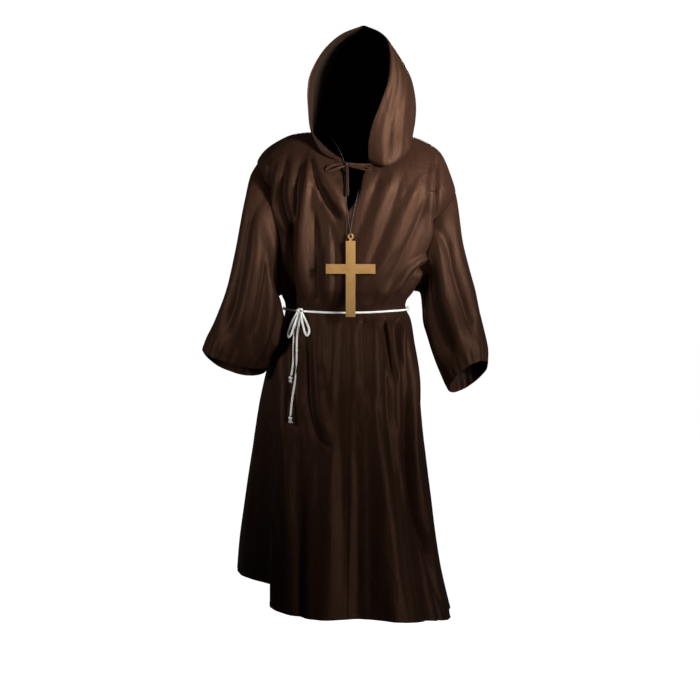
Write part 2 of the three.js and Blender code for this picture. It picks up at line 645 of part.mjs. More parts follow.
const PENDANT_CORD_ROUTE = [
  [21.5, 94.5, 40], [-10, 89, 38], [-40, 71, 32], [-58, 40, 22], [-60, 5, 6], [-50, -35, -18],
  [-38, -70, -40], [-30, -92, -58], [-24, -108, -74], [-21.5, -117, -86], [-22, -122.5, -97],
  [-21.5, -130, -112], [-20, -140, -133], [-19.4, -147.8, -152], [-16.5, -152, -175],
  [-14.4, -155.7, -200], [-12, -158.5, -222], [-9, -160, -246], [-6, -162.2, -264],
  [-4.4, -164.2, -275], [-4, -164.45, -280], [-4, -163.6, -282.1], [-4, -161.5, -282.95],
  [-4, -159.4, -282.1], [-4, -158.55, -280], [-3.6, -158.2, -272], [-1, -157.4, -252],
  [3, -156.6, -228],
  [9, -156.2, -200], [13, -153.5, -182], [17, -146, -166], [24, -134, -144], [34, -116, -112],
  [46, -88, -70], [60, -45, -25], [72, 5, 2], [70, 45, 20], [52, 76, 34], [30.5, 94.3, 40],
];
const ROPE_STEPS = { waist: 32, loop: 14, short: 8, long: 10 };
const NAPE_KNOT = { x: 26, y: 94.8, z: 40, length: 8, depth: 4.4, height: 4.4 };

function curveOf(route) {
  return new THREE.CatmullRomCurve3(
    route.map((p) => new THREE.Vector3(...p)), false, 'centripetal');
}

// A tube with one ring at each point of its route, for a cord with a sharp turn in it.
function ringTube(route, radius, sides) {
  const middles = route.map((p) => new THREE.Vector3(...p));
  const last = middles.length - 1;
  const points = [];
  let across = new THREE.Vector3(0, 0, 1);
  middles.forEach((middle, i) => {
    const before = middles[Math.max(i - 1, 0)];
    const tangent = middles[Math.min(i + 1, last)].clone().sub(before).normalize();
    across = across.clone().addScaledVector(tangent, -across.dot(tangent)).normalize();
    const through = tangent.clone().cross(across);
    for (const k of range(sides - 1)) {
      const angle = 2 * Math.PI * k / sides;
      points.push(middle.clone()
        .addScaledVector(across, radius * Math.cos(angle))
        .addScaledVector(through, radius * Math.sin(angle)));
    }
  });
  const faces = [];
  for (let k = 1; k + 1 < sides; k += 1) {
    faces.push(0, k + 1, k, last * sides, last * sides + k, last * sides + k + 1);
  }
  for (let i = 0; i < last; i += 1) {
    for (let k = 0; k < sides; k += 1) {
      const a = i * sides + k;
      const b = i * sides + (k + 1) % sides;
      faces.push(a, b, b + sides, a, b + sides, a + sides);
    }
  }
  return solid(points, faces);
}

function tube(route, radius, sides, steps) {
  const section = new THREE.Shape(range(sides - 1).map((i) => new THREE.Vector2(
    radius * Math.cos(2 * Math.PI * i / sides), radius * Math.sin(2 * Math.PI * i / sides))));
  return new THREE.ExtrudeGeometry(section, {
    steps, bevelEnabled: false, extrudePath: curveOf(route),
  });
}

function pebble({ x, y, z, length, depth, height, heading = 0 }) {
  return new THREE.SphereGeometry(0.5, 12, 8)
    .scale(length, depth, height)
    .rotateZ(THREE.MathUtils.degToRad(heading))
    .translate(x, y, z);
}

const wasm = await Module();
wasm.setup();

function toManifold(geometry) {
  const bare = geometry.clone();
  bare.deleteAttribute('normal');
  bare.deleteAttribute('uv');
  const merged = BufferGeometryUtils.mergeVertices(bare, 1e-4);
  return new wasm.Manifold(new wasm.Mesh({
    numProp: 3,
    vertProperties: new Float32Array(merged.attributes.position.array),
    triVerts: new Uint32Array(merged.index.array),
  }));
}

function joined(geometries) {
  const whole = geometries.map(toManifold).reduce((a, b) => a.add(b)).getMesh();
  const geometry = new THREE.BufferGeometry();
  geometry.setAttribute('position', new THREE.BufferAttribute(whole.vertProperties, 3));
  geometry.setIndex(new THREE.BufferAttribute(whole.triVerts, 1));
  return geometry;
}

const GOLDEN_ANGLE = 2.4;

// A tail's end: a knot with a tuft of frayed strands below it.
function frayedKnot(x, y, z) {
  const radius = END_KNOT_RADIUS;
  const knot = pebble({ x, y, z, length: 2 * radius, depth: 2 * radius, height: 2 * radius });
  const strands = range(FRAY.strands - 1).map((i) => {
    const angle = GOLDEN_ANGLE * i;
    const lean = FRAY.spread * Math.sqrt((i + 0.5) / FRAY.strands);
    const length = FRAY.length * (0.75 + 0.25 * Math.cos(1.7 * i));
    const outX = Math.cos(angle) * lean;
    const outY = -Math.abs(Math.sin(angle)) * lean;
    return tube([
      [x + outX * 0.4, y + outY * 0.4, z - radius * 0.6],
      [x + outX, y + outY, z - radius * 0.6 - length * 0.5],
      [x + outX * 1.5, y + outY * 0.9, z - radius * 0.6 - length],
    ], FRAY.radius, 3, 2);
  });
  return joined([knot, ...strands]);
}

add('rope_waist', tube(WAIST_ROUTE, ROPE_RADIUS, ROPE_SIDES, ROPE_STEPS.waist), WHITE_ROPE);
add('rope_bow', joined([
  pebble(BOW_KNOT),
  tube(LEFT_LOOP_ROUTE, ROPE_RADIUS, ROPE_SIDES, ROPE_STEPS.loop),
  tube(RIGHT_LOOP_ROUTE, ROPE_RADIUS, ROPE_SIDES, ROPE_STEPS.loop),
]), WHITE_ROPE);
add('rope_tail_short', tube(SHORT_TAIL_ROUTE, ROPE_RADIUS, ROPE_SIDES, ROPE_STEPS.short), WHITE_ROPE);
add('rope_tail_long', tube(LONG_TAIL_ROUTE, ROPE_RADIUS, ROPE_SIDES, ROPE_STEPS.long), WHITE_ROPE);
add('rope_end_short', frayedKnot(-166, -146, -667.8), WHITE_ROPE);
add('rope_end_long', frayedKnot(-166.4, -167.5, -775.3), WHITE_ROPE);
add('pendant_cord', ringTube(PENDANT_CORD_ROUTE, CORD_RADIUS, 8), BLACK_CORD);
add('pendant_cord_knot', pebble(NAPE_KNOT), BLACK_CORD);

// Thread loops at the side seams that carry the rope
function carrier(x, y, z, headingDegrees) {
  const heading = THREE.MathUtils.degToRad(headingDegrees);
  const route = range(6).map((i) => {
    const angle = Math.PI * (i / 6 - 0.5);
    const out = 1.4 + CARRIER.standOff * Math.cos(angle) ** 0.6;
    return [
      x + out * Math.cos(heading),
      y + out * Math.sin(heading),
      z + CARRIER.halfHeight * Math.sin(angle),
    ];
  });
  return tube(route, THREAD_RADIUS, 6, 10);
}
add('belt_carrier_right', carrier(-187.2, 14, -481, 180), BROWN);
add('belt_carrier_left', carrier(152.6, -12, -481, -6), BROWN);

// Neck tie: one strip of the robe's cloth, tied in a bow across the top of the slit
// A flat strip that follows a route, its width across the route and its thickness front to back.
function strip(route, width, thickness, steps) {
  const curve = curveOf(route);
  const points = [];
  for (const i of range(steps)) {
    const middle = curve.getPointAt(i / steps);
    const tangent = curve.getTangentAt(i / steps);
    const across = tangent.clone().cross(new THREE.Vector3(0, 1, 0)).normalize();
    const through = tangent.clone().cross(across).normalize();
    for (const [u, v] of [[-1, -1], [1, -1], [1, 1], [-1, 1]]) {
      points.push(middle.clone()
        .addScaledVector(across, u * width / 2)
        .addScaledVector(through, v * thickness / 2));
    }
  }
  const faces = [0, 1, 2, 0, 2, 3];
  const end = steps * 4;
  faces.push(end, end + 2, end + 1, end, end + 3, end + 2);
  for (let i = 0; i < steps; i += 1) {
    for (let k = 0; k < 4; k += 1) {
      const a = i * 4 + k;
      const b = i * 4 + (k + 1) % 4;
      faces.push(a, a + 4, b + 4, a, b + 4, b);
    }
  }
  return solid(points, faces);
}

add('neck_tie', joined([
  pebble({ x: -15, y: -128.5, z: -91, length: 17, depth: 9, height: 15 }),
  strip([[-18, -129, -89], [-40, -131, -91], [-60, -134, -96], [-70, -137, -105], [-62, -139, -110],
    [-42, -137, -103], [-20, -132, -94]], TIE.width * 0.75, TIE.thickness, 16),
  strip([[-12, -130, -94], [14, -132, -100], [38, -133, -106], [48, -133, -104], [44, -131.5, -99],
    [20, -130, -96], [-10, -127.5, -92]], TIE.width * 0.6, TIE.thickness, 16),
  strip([[-14, -126.5, -88], [12, -124, -90], [38, -121.5, -91], [56, -120.5, -89]],
    TIE.width * 0.75, TIE.thickness, 8),
  strip([[-14, -130.5, -95], [-13, -138, -112], [-12.5, -148, -135], [-12, -155, -158],
    [-12, -158.5, -178]], TIE.width, TIE.thickness, 8),
]), BROWN);

// Cross pendant: the cross, a short stem and the ring that the cord passes through
function crossPendant() {
  const ringCentre = RING_TOP.z - RING.radius;
  const top = ringCentre - RING.radius - RING.stemLength * 0.75;
  const half = CROSS.bar / 2;
  const arm = top - CROSS.armBelowTop;
  const corners = [
    [-half, top], [half, top], [half, arm + half], [CROSS.width / 2, arm + half],
    [CROSS.width / 2, arm - half], [half, arm - half], [half, top - CROSS.height],
    [-half, top - CROSS.height], [-half, arm - half], [-CROSS.width / 2, arm - half],
    [-CROSS.width / 2, arm + half], [-half, arm + half],
  ];
  const outline = new THREE.Shape(corners.map(([x, z]) => new THREE.Vector2(x, z)).reverse());
  const depth = CROSS.thickness - 2 * CROSS.bevel;
  const body = new THREE.ExtrudeGeometry(outline, {
    depth,
    bevelThickness: CROSS.bevel,
    bevelSize: CROSS.bevel,
    bevelOffset: -CROSS.bevel,
    bevelSegments: 1,
  });
  body.translate(0, 0, -depth / 2);
  const stem = new THREE.BoxGeometry(RING.stemWidth, RING.stemLength, 2 * RING.wire)
    .translate(0, ringCentre - RING.radius - RING.stemLength / 2 + 0.5, 0);
  const ring = new THREE.TorusGeometry(RING.radius, RING.wire, 10, 24).translate(0, ringCentre, 0);
  return joined([body, stem, ring]).rotateX(Math.PI / 2).translate(RING_TOP.x, RING_TOP.y, 0);
}
add('cross', crossPendant(), GOLD);

export default costume;
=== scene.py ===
"""Hooded monk costume dressed for rendering: cloth, rope, cord, cross, light and camera.

Tables are in millimetres in the model's frame (+Z up, the garment faces -Y, the wearer's
right is -X); meshes are in metres.
"""
import math

import bpy
import numpy as np
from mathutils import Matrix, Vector


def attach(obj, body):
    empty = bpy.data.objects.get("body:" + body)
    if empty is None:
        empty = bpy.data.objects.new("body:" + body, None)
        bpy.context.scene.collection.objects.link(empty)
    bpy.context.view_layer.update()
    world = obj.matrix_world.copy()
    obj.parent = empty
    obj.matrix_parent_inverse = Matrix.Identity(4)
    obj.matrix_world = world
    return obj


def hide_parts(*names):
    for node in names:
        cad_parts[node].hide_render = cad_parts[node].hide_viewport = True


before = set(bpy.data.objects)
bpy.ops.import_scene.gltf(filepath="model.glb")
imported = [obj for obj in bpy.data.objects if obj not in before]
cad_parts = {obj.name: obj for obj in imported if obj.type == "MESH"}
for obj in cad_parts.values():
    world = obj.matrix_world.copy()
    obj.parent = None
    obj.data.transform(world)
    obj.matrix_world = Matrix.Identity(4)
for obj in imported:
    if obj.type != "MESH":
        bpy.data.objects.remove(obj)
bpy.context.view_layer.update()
MM = 0.001

# Camera
# Place in metres, pitch down in degrees, and focal length in millimetres.
CAMERA_PLACE = (-0.0055, -4.1006, -0.4258)
CAMERA_PITCH = 2.4
CAMERA_LENS = 75.3

camera_data = bpy.data.cameras.new("camera")
camera_data.lens = CAMERA_LENS
camera_data.sensor_width = 36
camera_data.clip_end = 60
camera = bpy.data.objects.new("camera", camera_data)
camera.location = CAMERA_PLACE
camera.rotation_euler = (math.radians(90 - CAMERA_PITCH), 0, 0)
bpy.context.collection.objects.link(camera)
bpy.context.scene.camera = camera
bpy.context.scene.view_settings.view_transform = "Standard"


# Tables
def table(columns, rows):
    """Rows of numbers as one array per named column."""
    values = np.array(rows, float)
    return {name: values[:, i] for i, name in enumerate(columns)}


# The robe's ovals by drop below the neck along the front: x of both sides, y of front and back,
# z of both sides and of the back, y of both sides, and how square the oval is (1 is an ellipse).
BODY = table(
    ["drop", "left", "right", "front", "back", "zLeft", "zRight", "zBack", "yLeft", "yRight", "square"],
    [
        [88, -112, 164, -112, 92, 8, -4, 18, -6, -6, 1.0],
        [104, -165, 192, -124, 106, 1, -14, -2, -4, -4, 0.98],
        [120, -204, 226, -134, 114, -16, -32, -25, -2, -2, 0.96],
        [136, -233, 250, -141, 120, -35, -56, -50, 0, 0, 0.94],
        [152, -251, 269, -147, 124, -54, -98, -76, 0, 0, 0.92],
        [170, -262, 287, -150, 127, -78, -157, -106, 0, 0, 0.9],
        [235, -240, 260, -152, 130, -168, -225, -190, 0, 0, 0.86],
        [300, -228, 240, -152, 132, -259, -293, -280, 0, 0, 0.84],
        [365, -214, 213, -152, 133, -350, -361, -360, 0, 0, 0.84],
        [430, -194, 172, -148, 132, -440, -430, -430, 6, 0, 0.86],
        [462, -186, 151, -135, 124, -463, -457, -458, 12, 0, 0.88],
        [491, -184, 148, -122, 114, -481, -481, -481, 15, 0, 0.9],
        [520, -190, 162, -134, 124, -508, -510, -510, 18, 0, 0.9],
        [560, -204, 170, -147, 136, -548, -552, -550, 20, 0, 0.88],
        [640, -230, 181, -162, 150, -624, -636, -632, 22, 0, 0.86],
        [720, -250, 188, -172, 162, -702, -720, -712, 26, 0, 0.86],
        [800, -266, 195, -180, 175, -778, -804, -792, 38, 0, 0.86],
        [900, -282, 207, -188, 192, -874, -910, -892, 62, 0, 0.86],
        [1000, -299, 220, -196, 210, -968, -1016, -990, 108, -4, 0.86],
        [1100, -315, 232, -204, 230, -1062, -1122, -1090, 156, -8, 0.86],
        [1200, -331, 248, -212, 252, -1158, -1228, -1188, 206, -14, 0.86],
        [1310, -344, 274, -222, 272, -1262, -1344, -1300, 262, -20, 0.86],
    ],
)
# The neck slit's two edges, as x by drop.
SLIT = table(
    ["drop", "right", "left"],
    [
        [88, -26, 58], [98, -26, 46], [112, -25, 34], [133, -23, 28],
        [166, -19, 22], [191, -16, 10], [222, -13, -13],
    ],
)
# Sleeves by share of their length: outer and inner edge, middle depth and half depth, and how
# far the front rises and the back sags.
SLEEVE_COLUMNS = ["along", "outX", "outZ", "inX", "inZ", "midY", "halfY", "lift", "sag"]
SLEEVE_RIGHT = table(
    SLEEVE_COLUMNS,
    [
        [0, -262, -78, -194, -440, 0, 88, 0, 0],
        [0.12, -280, -114, -207, -449, -22, 90, 0, 0],
        [0.26, -293, -178, -196, -474, -50, 90, 0, 0],
        [0.4, -306, -250, -194, -504, -60, 88, 0, 0],
        [0.55, -322, -335, -200, -538, -64, 86, 0, 2],
        [0.7, -344, -428, -209, -572, -66, 84, -2, 10],
        [0.84, -376, -512, -221, -606, -66, 80, -6, 24],
        [0.93, -398, -560, -230, -628, -70, 74, -10, 36],
        [1, -410, -594, -236, -640, -72, 66, -14, 46],
    ],
)
SLEEVE_LEFT = table(
    SLEEVE_COLUMNS,
    [
        [0, 287, -157, 172, -430, 0, 88, 0, 0],
        [0.12, 292, -186, 191, -437, -6, 90, 0, 0],
        [0.26, 296, -232, 197, -478, -10, 88, 0, 0],
        [0.4, 304, -300, 200, -520, -18, 84, 0, 0],
        [0.55, 322, -376, 211, -560, -26, 80, 2, 2],
        [0.7, 342, -452, 224, -602, -34, 78, 8, 6],
        [0.84, 362, -530, 243, -652, -42, 74, 18, 14],
        [0.93, 375, -592, 258, -684, -46, 68, 28, 24],
        [1, 374, -640, 270, -702, -50, 60, 36, 32],
    ],
)
# Halves of the hood by share of their height: the rim, the side and the centre back.
HOOD_COLUMNS = ["up", "rimX", "rimY", "rimZ", "sideX", "sideY", "sideZ", "backX", "backY", "backZ"]
HOOD_RIGHT = table(
    HOOD_COLUMNS,
    [
        [0, -26, -112, -88, -112, -6, 8, 26, 92, 18],
        [0.1, -60, -112, -70, -111, -6, 26, 27, 101, 46],
        [0.2, -94, -94, -34, -110, -4, 52, 28, 108, 78],
        [0.3, -112, -86, 6, -108, -2, 82, 29, 113, 110],
        [0.42, -119, -88, 58, -107, 0, 112, 30, 116, 145],
        [0.56, -121, -93, 112, -104, 0, 146, 31, 115, 178],
        [0.7, -112, -97, 160, -93, 0, 184, 32, 108, 208],
        [0.85, -76, -100, 222, -62, 0, 232, 32, 92, 236],
        [0.93, -29, -102, 262, -20, 0, 264, 33, 82, 250],
        [1, 32, -103, 285, 33, 0, 284, 33, 72, 258],
    ],
)
HOOD_LEFT = table(
    HOOD_COLUMNS,
    [
        [0, 58, -112, -88, 164, -6, -4, 26, 92, 18],
        [0.1, 44, -124, -66, 169, -10, 16, 27, 101, 46],
        [0.2, 45, -128, -24, 172, -12, 44, 28, 108, 78],
        [0.3, 56, -128, 20, 174, -12, 74, 29, 113, 110],
        [0.42, 78, -126, 76, 171, -10, 108, 30, 116, 145],
        [0.56, 97, -120, 134, 163, -6, 146, 31, 115, 178],
        [0.7, 103, -114, 184, 149, 0, 186, 32, 108, 208],
        [0.85, 98, -106, 238, 112, 0, 236, 32, 92, 236],
        [0.93, 76, -104, 266, 78, 0, 264, 33, 82, 250],
        [1, 32, -103, 285, 33, 0, 284, 33, 72, 258],
    ],
)

SHOULDER_TIP_DROP = 170
UNDERARM_DROP = 430
BELT_DROP = 491
HEM_DROP = 1310
ARMHOLE_HALF_DEPTH = 88

# Mesh steps of the cloth, in rows and columns.
YOKE_ROWS, ARMHOLE_ROWS, WAIST_ROWS, SKIRT_ROWS = 22, 68, 32, 170
FRONT_COLUMNS, BACK_COLUMNS = 74, 140
SLEEVE_ROWS = 126
HOOD_ROWS = 96
CLOTH_OUTER, CLOTH_INNER = 1.6, 0.4

# Folds of the front seen from the front: points (x, z), half width, height at each end, and how
# sharp the fold is (0 soft, 1 creased). Ridges are positive and troughs negative.
FRONT_FOLDS = [
    # chest, wearer's right: long ridge, diagonal ridge and the troughs beside them
    ([(-110, -20), (-121, -134), (-133, -242), (-138, -350), (-128, -500)], 13, 14, 15, 0.8),
    ([(-116, -30), (-66, -140), (-6, -250)], 14, 14, 13, 0.8),
    ([(-112, -100), (-78, -176), (-26, -262)], 9, -11, -10, 0.8),
    ([(-84, -120), (-56, -160), (-36, -196)], 6, -4, -4, 0.8),
    ([(-98, -180), (-70, -262), (-24, -350)], 20, -4, -3, 0.3),
    # the curved fold beside the armhole, with its hook
    ([(-172, -20), (-188, -150), (-182, -214), (-156, -286)], 9, -8, -12, 0.7),
    ([(-196, -60), (-207, -160), (-199, -222), (-176, -290)], 12, 6, 9, 0.7),
    ([(-150, -30), (-168, -160), (-158, -214), (-138, -300)], 11, 6, 10, 0.7),
    ([(-134, -50), (-150, -180), (-148, -290)], 9, -6, -8, 0.6),
    ([(-212, -110), (-206, -274), (-192, -372), (-182, -490)], 10, 10, 11, 0.8),
    ([(-164, -210), (-170, -340), (-160, -490)], 10, -22, -25, 0.8),
    ([(-230, -60), (-224, -240), (-204, -430)], 8, -15, -16, 0.8),
    ([(-104, -190), (-98, -350), (-96, -490)], 17, -14, -14, 0.6),
    ([(-66, -230), (-62, -350), (-66, -490)], 12, 6, 8, 0.6),
    ([(-48, -300), (-46, -380), (-50, -490)], 8, -3, -6, 0.7),
    ([(-34, -260), (-30, -400), (-34, -490)], 12, 2, 4, 0.5),
    # hood's foot and yoke
    ([(-66, -54), (-46, -90), (-26, -124)], 8, -6, -5, 0.8),
    ([(-92, -46), (-66, -92), (-30, -132)], 10, 6, 5, 0.7),
    # chest, wearer's left: soft diagonals from the shoulder
    ([(124, -80), (62, -240), (10, -390)], 22, 6, 6, 0.5),
    ([(84, -90), (44, -210), (4, -320)], 14, -5, -5, 0.5),
    ([(146, -90), (92, -250), (40, -380)], 14, -4, -6, 0.5),
    ([(196, -100), (124, -276), (52, -450)], 24, 8, 9, 0.6),
    ([(214, -150), (150, -310), (76, -450)], 13, -5, -9, 0.7),
    ([(140, -300), (74, -400), (16, -480)], 15, -4, -6, 0.5),
    # armpit swags
    ([(240, -326), (172, -362), (118, -432), (70, -486)], 13, 13, 13, 0.8),
    ([(232, -346), (168, -386), (130, -452)], 10, -14, -14, 0.9),
    ([(204, -360), (164, -414), (124, -478)], 11, 11, 13, 0.8),
    ([(180, -380), (152, -432), (122, -490)], 7, -8, -9, 0.9),
    ([(126, -420), (104, -456), (86, -490)], 8, -6, -7, 0.8),
    ([(72, -426), (56, -460), (44, -490)], 8, -4, -6, 0.8),
    # crease beside the wearer's left armhole
    ([(240, -40), (229, -160), (224, -370)], 8, -17, -16, 0.9),
    ([(222, -60), (214, -180), (208, -360)], 13, 9, 9, 0.6),
    # skirt under the belt
    ([(30, -492), (30, -570), (36, -700)], 11, -14, -8, 0.8),
    ([(60, -492), (62, -600), (70, -760)], 17, 15, 7, 0.4),
    ([(90, -490), (96, -570), (114, -690)], 9, -24, -12, 0.9),
    ([(110, -490), (108, -560), (128, -700)], 9, 14, 9, 0.8),
    ([(130, -490), (121, -560), (132, -650)], 8, -18, -11, 0.9),
    ([(146, -490), (138, -580), (150, -740)], 9, 12, 8, 0.7),
    ([(-52, -492), (-50, -580), (-56, -760)], 12, 6, 5, 0.6),
    ([(-24, -492), (-26, -560), (-32, -700)], 10, -5, -4, 0.7),
    ([(4, -492), (2, -560), (6, -720)], 11, 4, 3, 0.5),
    ([(-84, -492), (-80, -560), (-86, -660)], 9, -7, -5, 0.7),
    # skirt, wearer's right: the trough that ends in a hook
    ([(-126, -490), (-118, -620), (-112, -740), (-92, -832), (-50, -866)], 12, -14, -14, 0.7),
    ([(-98, -500), (-94, -640), (-86, -750), (-60, -836)], 14, 8, 13, 0.5),
    ([(-148, -490), (-150, -620), (-138, -800)], 11, 10, 9, 0.7),
    ([(-168, -490), (-174, -640), (-150, -850)], 11, -13, -10, 0.8),
    ([(-192, -510), (-196, -680), (-180, -870)], 12, 7, 7, 0.6),
    # skirt, long and soft
    ([(-30, -540), (-34, -800), (-40, -1100)], 20, -5, -8, 0.2),
    ([(16, -620), (10, -900), (13, -1480)], 30, 5, -18, 0.0),
    ([(60, -700), (104, -1100), (162, -1480)], 58, 4, 42, 0.0),
    ([(-50, -800), (-64, -1100), (-80, -1480)], 30, 6, 16, 0.0),
    ([(110, -740), (160, -1000), (220, -1480)], 22, -8, -14, 0.3),
    ([(150, -500), (158, -673), (156, -857), (174, -1041), (220, -1192), (258, -1460)], 9, -27, -24, 0.8),
    ([(170, -520), (176, -700), (171, -857), (196, -1020), (250, -1230)], 11, 13, 12, 0.8),
    ([(-176, -620), (-180, -820), (-170, -1180)], 18, 9, 12, 0.2),
    ([(-250, -760), (-230, -916), (-224, -1041), (-194, -1290)], 12, -12, -19, 0.6),
    ([(-142, -780), (-146, -1000), (-136, -1440)], 16, -6, -8, 0.3),
    ([(-104, -840), (-108, -1060), (-112, -1440)], 18, 6, 9, 0.4),
    ([(-4, -820), (-2, -1060), (-22, -1440)], 16, 4, 6, 0.2),
    ([(40, -760), (50, -1000), (48, -1440)], 14, -4, -7, 0.3),
    ([(84, -840), (96, -1080), (116, -1440)], 16, 4, 7, 0.3),
    ([(124, -600), (126, -820), (144, -1060)], 11, 7, 7, 0.5),
    ([(90, -580), (96, -760), (110, -960)], 11, -7, -7, 0.5),
    ([(60, -700), (70, -860), (90, -1080)], 12, 4, 6, 0.4),
]

# Folds of the sides and back: turn and drop at each end, half width as a turn, heights.
ROUND_FOLDS = [
    (0.576, 700, 0.59, 1500, 0.044, 0, -150),
    (0.05, 540, 0.045, 1500, 0.02, 6, 19),
    (0.09, 520, 0.1, 1500, 0.018, -7, -19),
    (0.135, 530, 0.155, 1500, 0.022, 8, 23),
    (0.18, 520, 0.205, 1500, 0.018, -8, -17),
    (0.225, 540, 0.25, 1500, 0.022, 7, 21),
    (0.275, 520, 0.295, 1500, 0.018, -8, -19),
    (0.32, 530, 0.34, 1500, 0.022, 8, 24),
    (0.365, 520, 0.39, 1500, 0.018, -7, -18),
    (0.415, 540, 0.435, 1500, 0.02, 6, 19),
    (0.12, 200, 0.17, 450, 0.02, 6, 9),
    (0.2, 180, 0.22, 455, 0.016, -5, -8),
    (0.3, 180, 0.28, 455, 0.016, -5, -8),
    (0.36, 200, 0.33, 450, 0.02, 6, 9),
]
SLEEVE_RIGHT_FOLDS = [
    (0.06, 0.08, 0.1, 0.92, 0.03, 7, 9),
    (0.13, 0.14, 0.16, 0.9, 0.022, -8, -10),
    (0.2, 0.06, 0.22, 0.92, 0.034, 8, 12),
    (0.27, 0.16, 0.29, 0.86, 0.02, -9, -12),
    (0.34, 0.05, 0.37, 0.94, 0.03, 8, 14),
    (0.43, 0.05, 0.44, 0.95, 0.036, -15, -19),
    (0.5, 0.24, 0.5, 0.86, 0.05, 23, 21),
    (0.62, 0.15, 0.6, 0.9, 0.04, -7, -9),
    (0.76, 0.12, 0.72, 0.92, 0.045, 7, 10),
    (0.88, 0.2, 0.86, 0.86, 0.04, -6, -8),
]
SLEEVE_LEFT_FOLDS = [
    (0.05, 0.04, 0.03, 0.8, 0.03, 5, 7),
    (0.12, 0.1, 0.09, 0.9, 0.035, 8, 11),
    (0.19, 0.12, 0.17, 0.9, 0.022, -8, -9),
    (0.26, 0.06, 0.26, 0.94, 0.036, 8, 13),
    (0.33, 0.1, 0.33, 0.88, 0.022, -10, -12),
    (0.4, 0.06, 0.41, 0.9, 0.03, 9, 12),
    (0.47, 0.06, 0.47, 0.7, 0.02, -6, -7),
    (0.62, 0.15, 0.6, 0.9, 0.04, -7, -9),
    (0.76, 0.12, 0.72, 0.92, 0.045, 7, 10),
    (0.88, 0.2, 0.86, 0.86, 0.04, -6, -8),
]


# Curves and folds
def sample(rows, key, value):
    """Every column of a table at the given values of its first one, on a smooth curve."""
    keys = rows[key]
    last = len(keys) - 1
    t = np.clip(np.asarray(value, float), keys[0], keys[last])
    i = np.clip(np.searchsorted(keys, t, side="right") - 1, 0, last - 1)
    span = keys[i + 1] - keys[i]
    u = (t - keys[i]) / span
    result = {}
    for name, column in rows.items():
        ahead = np.minimum(np.arange(last + 1) + 1, last)
        behind = np.maximum(np.arange(last + 1) - 1, 0)
        slope = (column[ahead] - column[behind]) / (keys[ahead] - keys[behind])
        result[name] = (
            (2 * u**3 - 3 * u**2 + 1) * column[i]
            + (u**3 - 2 * u**2 + u) * slope[i] * span
            + (3 * u**2 - 2 * u**3) * column[i + 1]
            + (u**3 - u**2) * slope[i + 1] * span
        )
    return result


def smooth(value, low, high):
    t = np.clip((value - low) / (high - low), 0, 1)
    return t * t * (3 - 2 * t)


def catmull(points, steps):
    """Points along a smooth curve through the given ones."""
    p = np.array(points, float)
    p = np.vstack([2 * p[0] - p[1], p, 2 * p[-1] - p[-2]])
    out = []
    for i in range(1, len(p) - 2):
        for k in range(steps):
            t = k / steps
            a, b, c, d = p[i - 1 : i + 3]
            out.append(
                0.5 * (2 * b + (c - a) * t + (2 * a - 5 * b + 4 * c - d) * t**2
                       + (3 * b - a - 3 * c + d) * t**3)
            )
    out.append(p[-2])
    return np.array(out)


def ends_fade(along):
    return smooth(along, 0, 0.24) * (1 - smooth(along, 0.78, 1))


# A creased fold is a tent with flat flanks: how much its top and its foot are rounded.
APEX_ROUNDING, FOOT_ROUNDING = 0.03, 0.012


def band_height(fold, turn, along):
    """Height of a fold that runs round and along a tube, from its table row."""
    turn0, along0, turn1, along1, width, start, end = fold
    share = (along - along0) / (along1 - along0)
    centre = turn0 + (turn1 - turn0) * share
    across = (turn - centre) / width
    inside = (share > 0) & (share < 1)
    return (start + (end - start) * share) * ends_fade(share) * np.exp(-(across**2)) * inside


def line_height(fold, x, z):
    """Height of a fold drawn as a line over the front."""
    points, width, start, end, crisp = fold
    line = catmull(points, 6)
    height = np.zeros(x.shape)
    reach = 4 * width
    box = (
        (x > line[:, 0].min() - reach) & (x < line[:, 0].max() + reach)
        & (z > line[:, 1].min() - reach) & (z < line[:, 1].max() + reach)
    )
    if not box.any():
        return height
    px, pz = x[box], z[box]
    best = np.full(px.shape, 1e9)
    along = np.zeros(px.shape)
    count = len(line) - 1
    for i in range(count):
        ax, az = line[i]
        dx, dz = line[i + 1] - line[i]
        t = np.clip(((px - ax) * dx + (pz - az) * dz) / (dx * dx + dz * dz), 0, 1)
        distance = np.hypot(px - ax - t * dx, pz - az - t * dz)
        nearer = distance < best
        best = np.where(nearer, distance, best)
        along = np.where(nearer, (i + t) / count, along)
    a = best / (width * (0.45 + 0.55 * smooth(along, 0, 0.5)))
    soft = np.exp(-(a**2))
    flank = 1 - 0.7 * np.sqrt(a**2 + APEX_ROUNDING)
    tent = 0.5 * (flank + np.sqrt(flank**2 + FOOT_ROUNDING))
    profile = soft * (1 - crisp) + np.where(a < 4, tent * np.exp(-((a / 3) ** 4)), 0) * crisp
    height[box] = (start + (end - start) * along) * ends_fade(along) * profile
    return height


def ripple(u, v, seed):
    """A soft unevenness between about -1 and 1, the same on every run."""
    total = np.zeros(np.broadcast(u, v).shape)
    for k in range(5):
        a = 2.399 * (k + 1) + seed
        total = total + np.sin(u * (1 + 0.37 * k) + v * math.sin(a) + 3.1 * a)
    return total / 3


# Robe
def signed_power(value, exponent):
    return np.sign(value) * np.abs(value) ** exponent


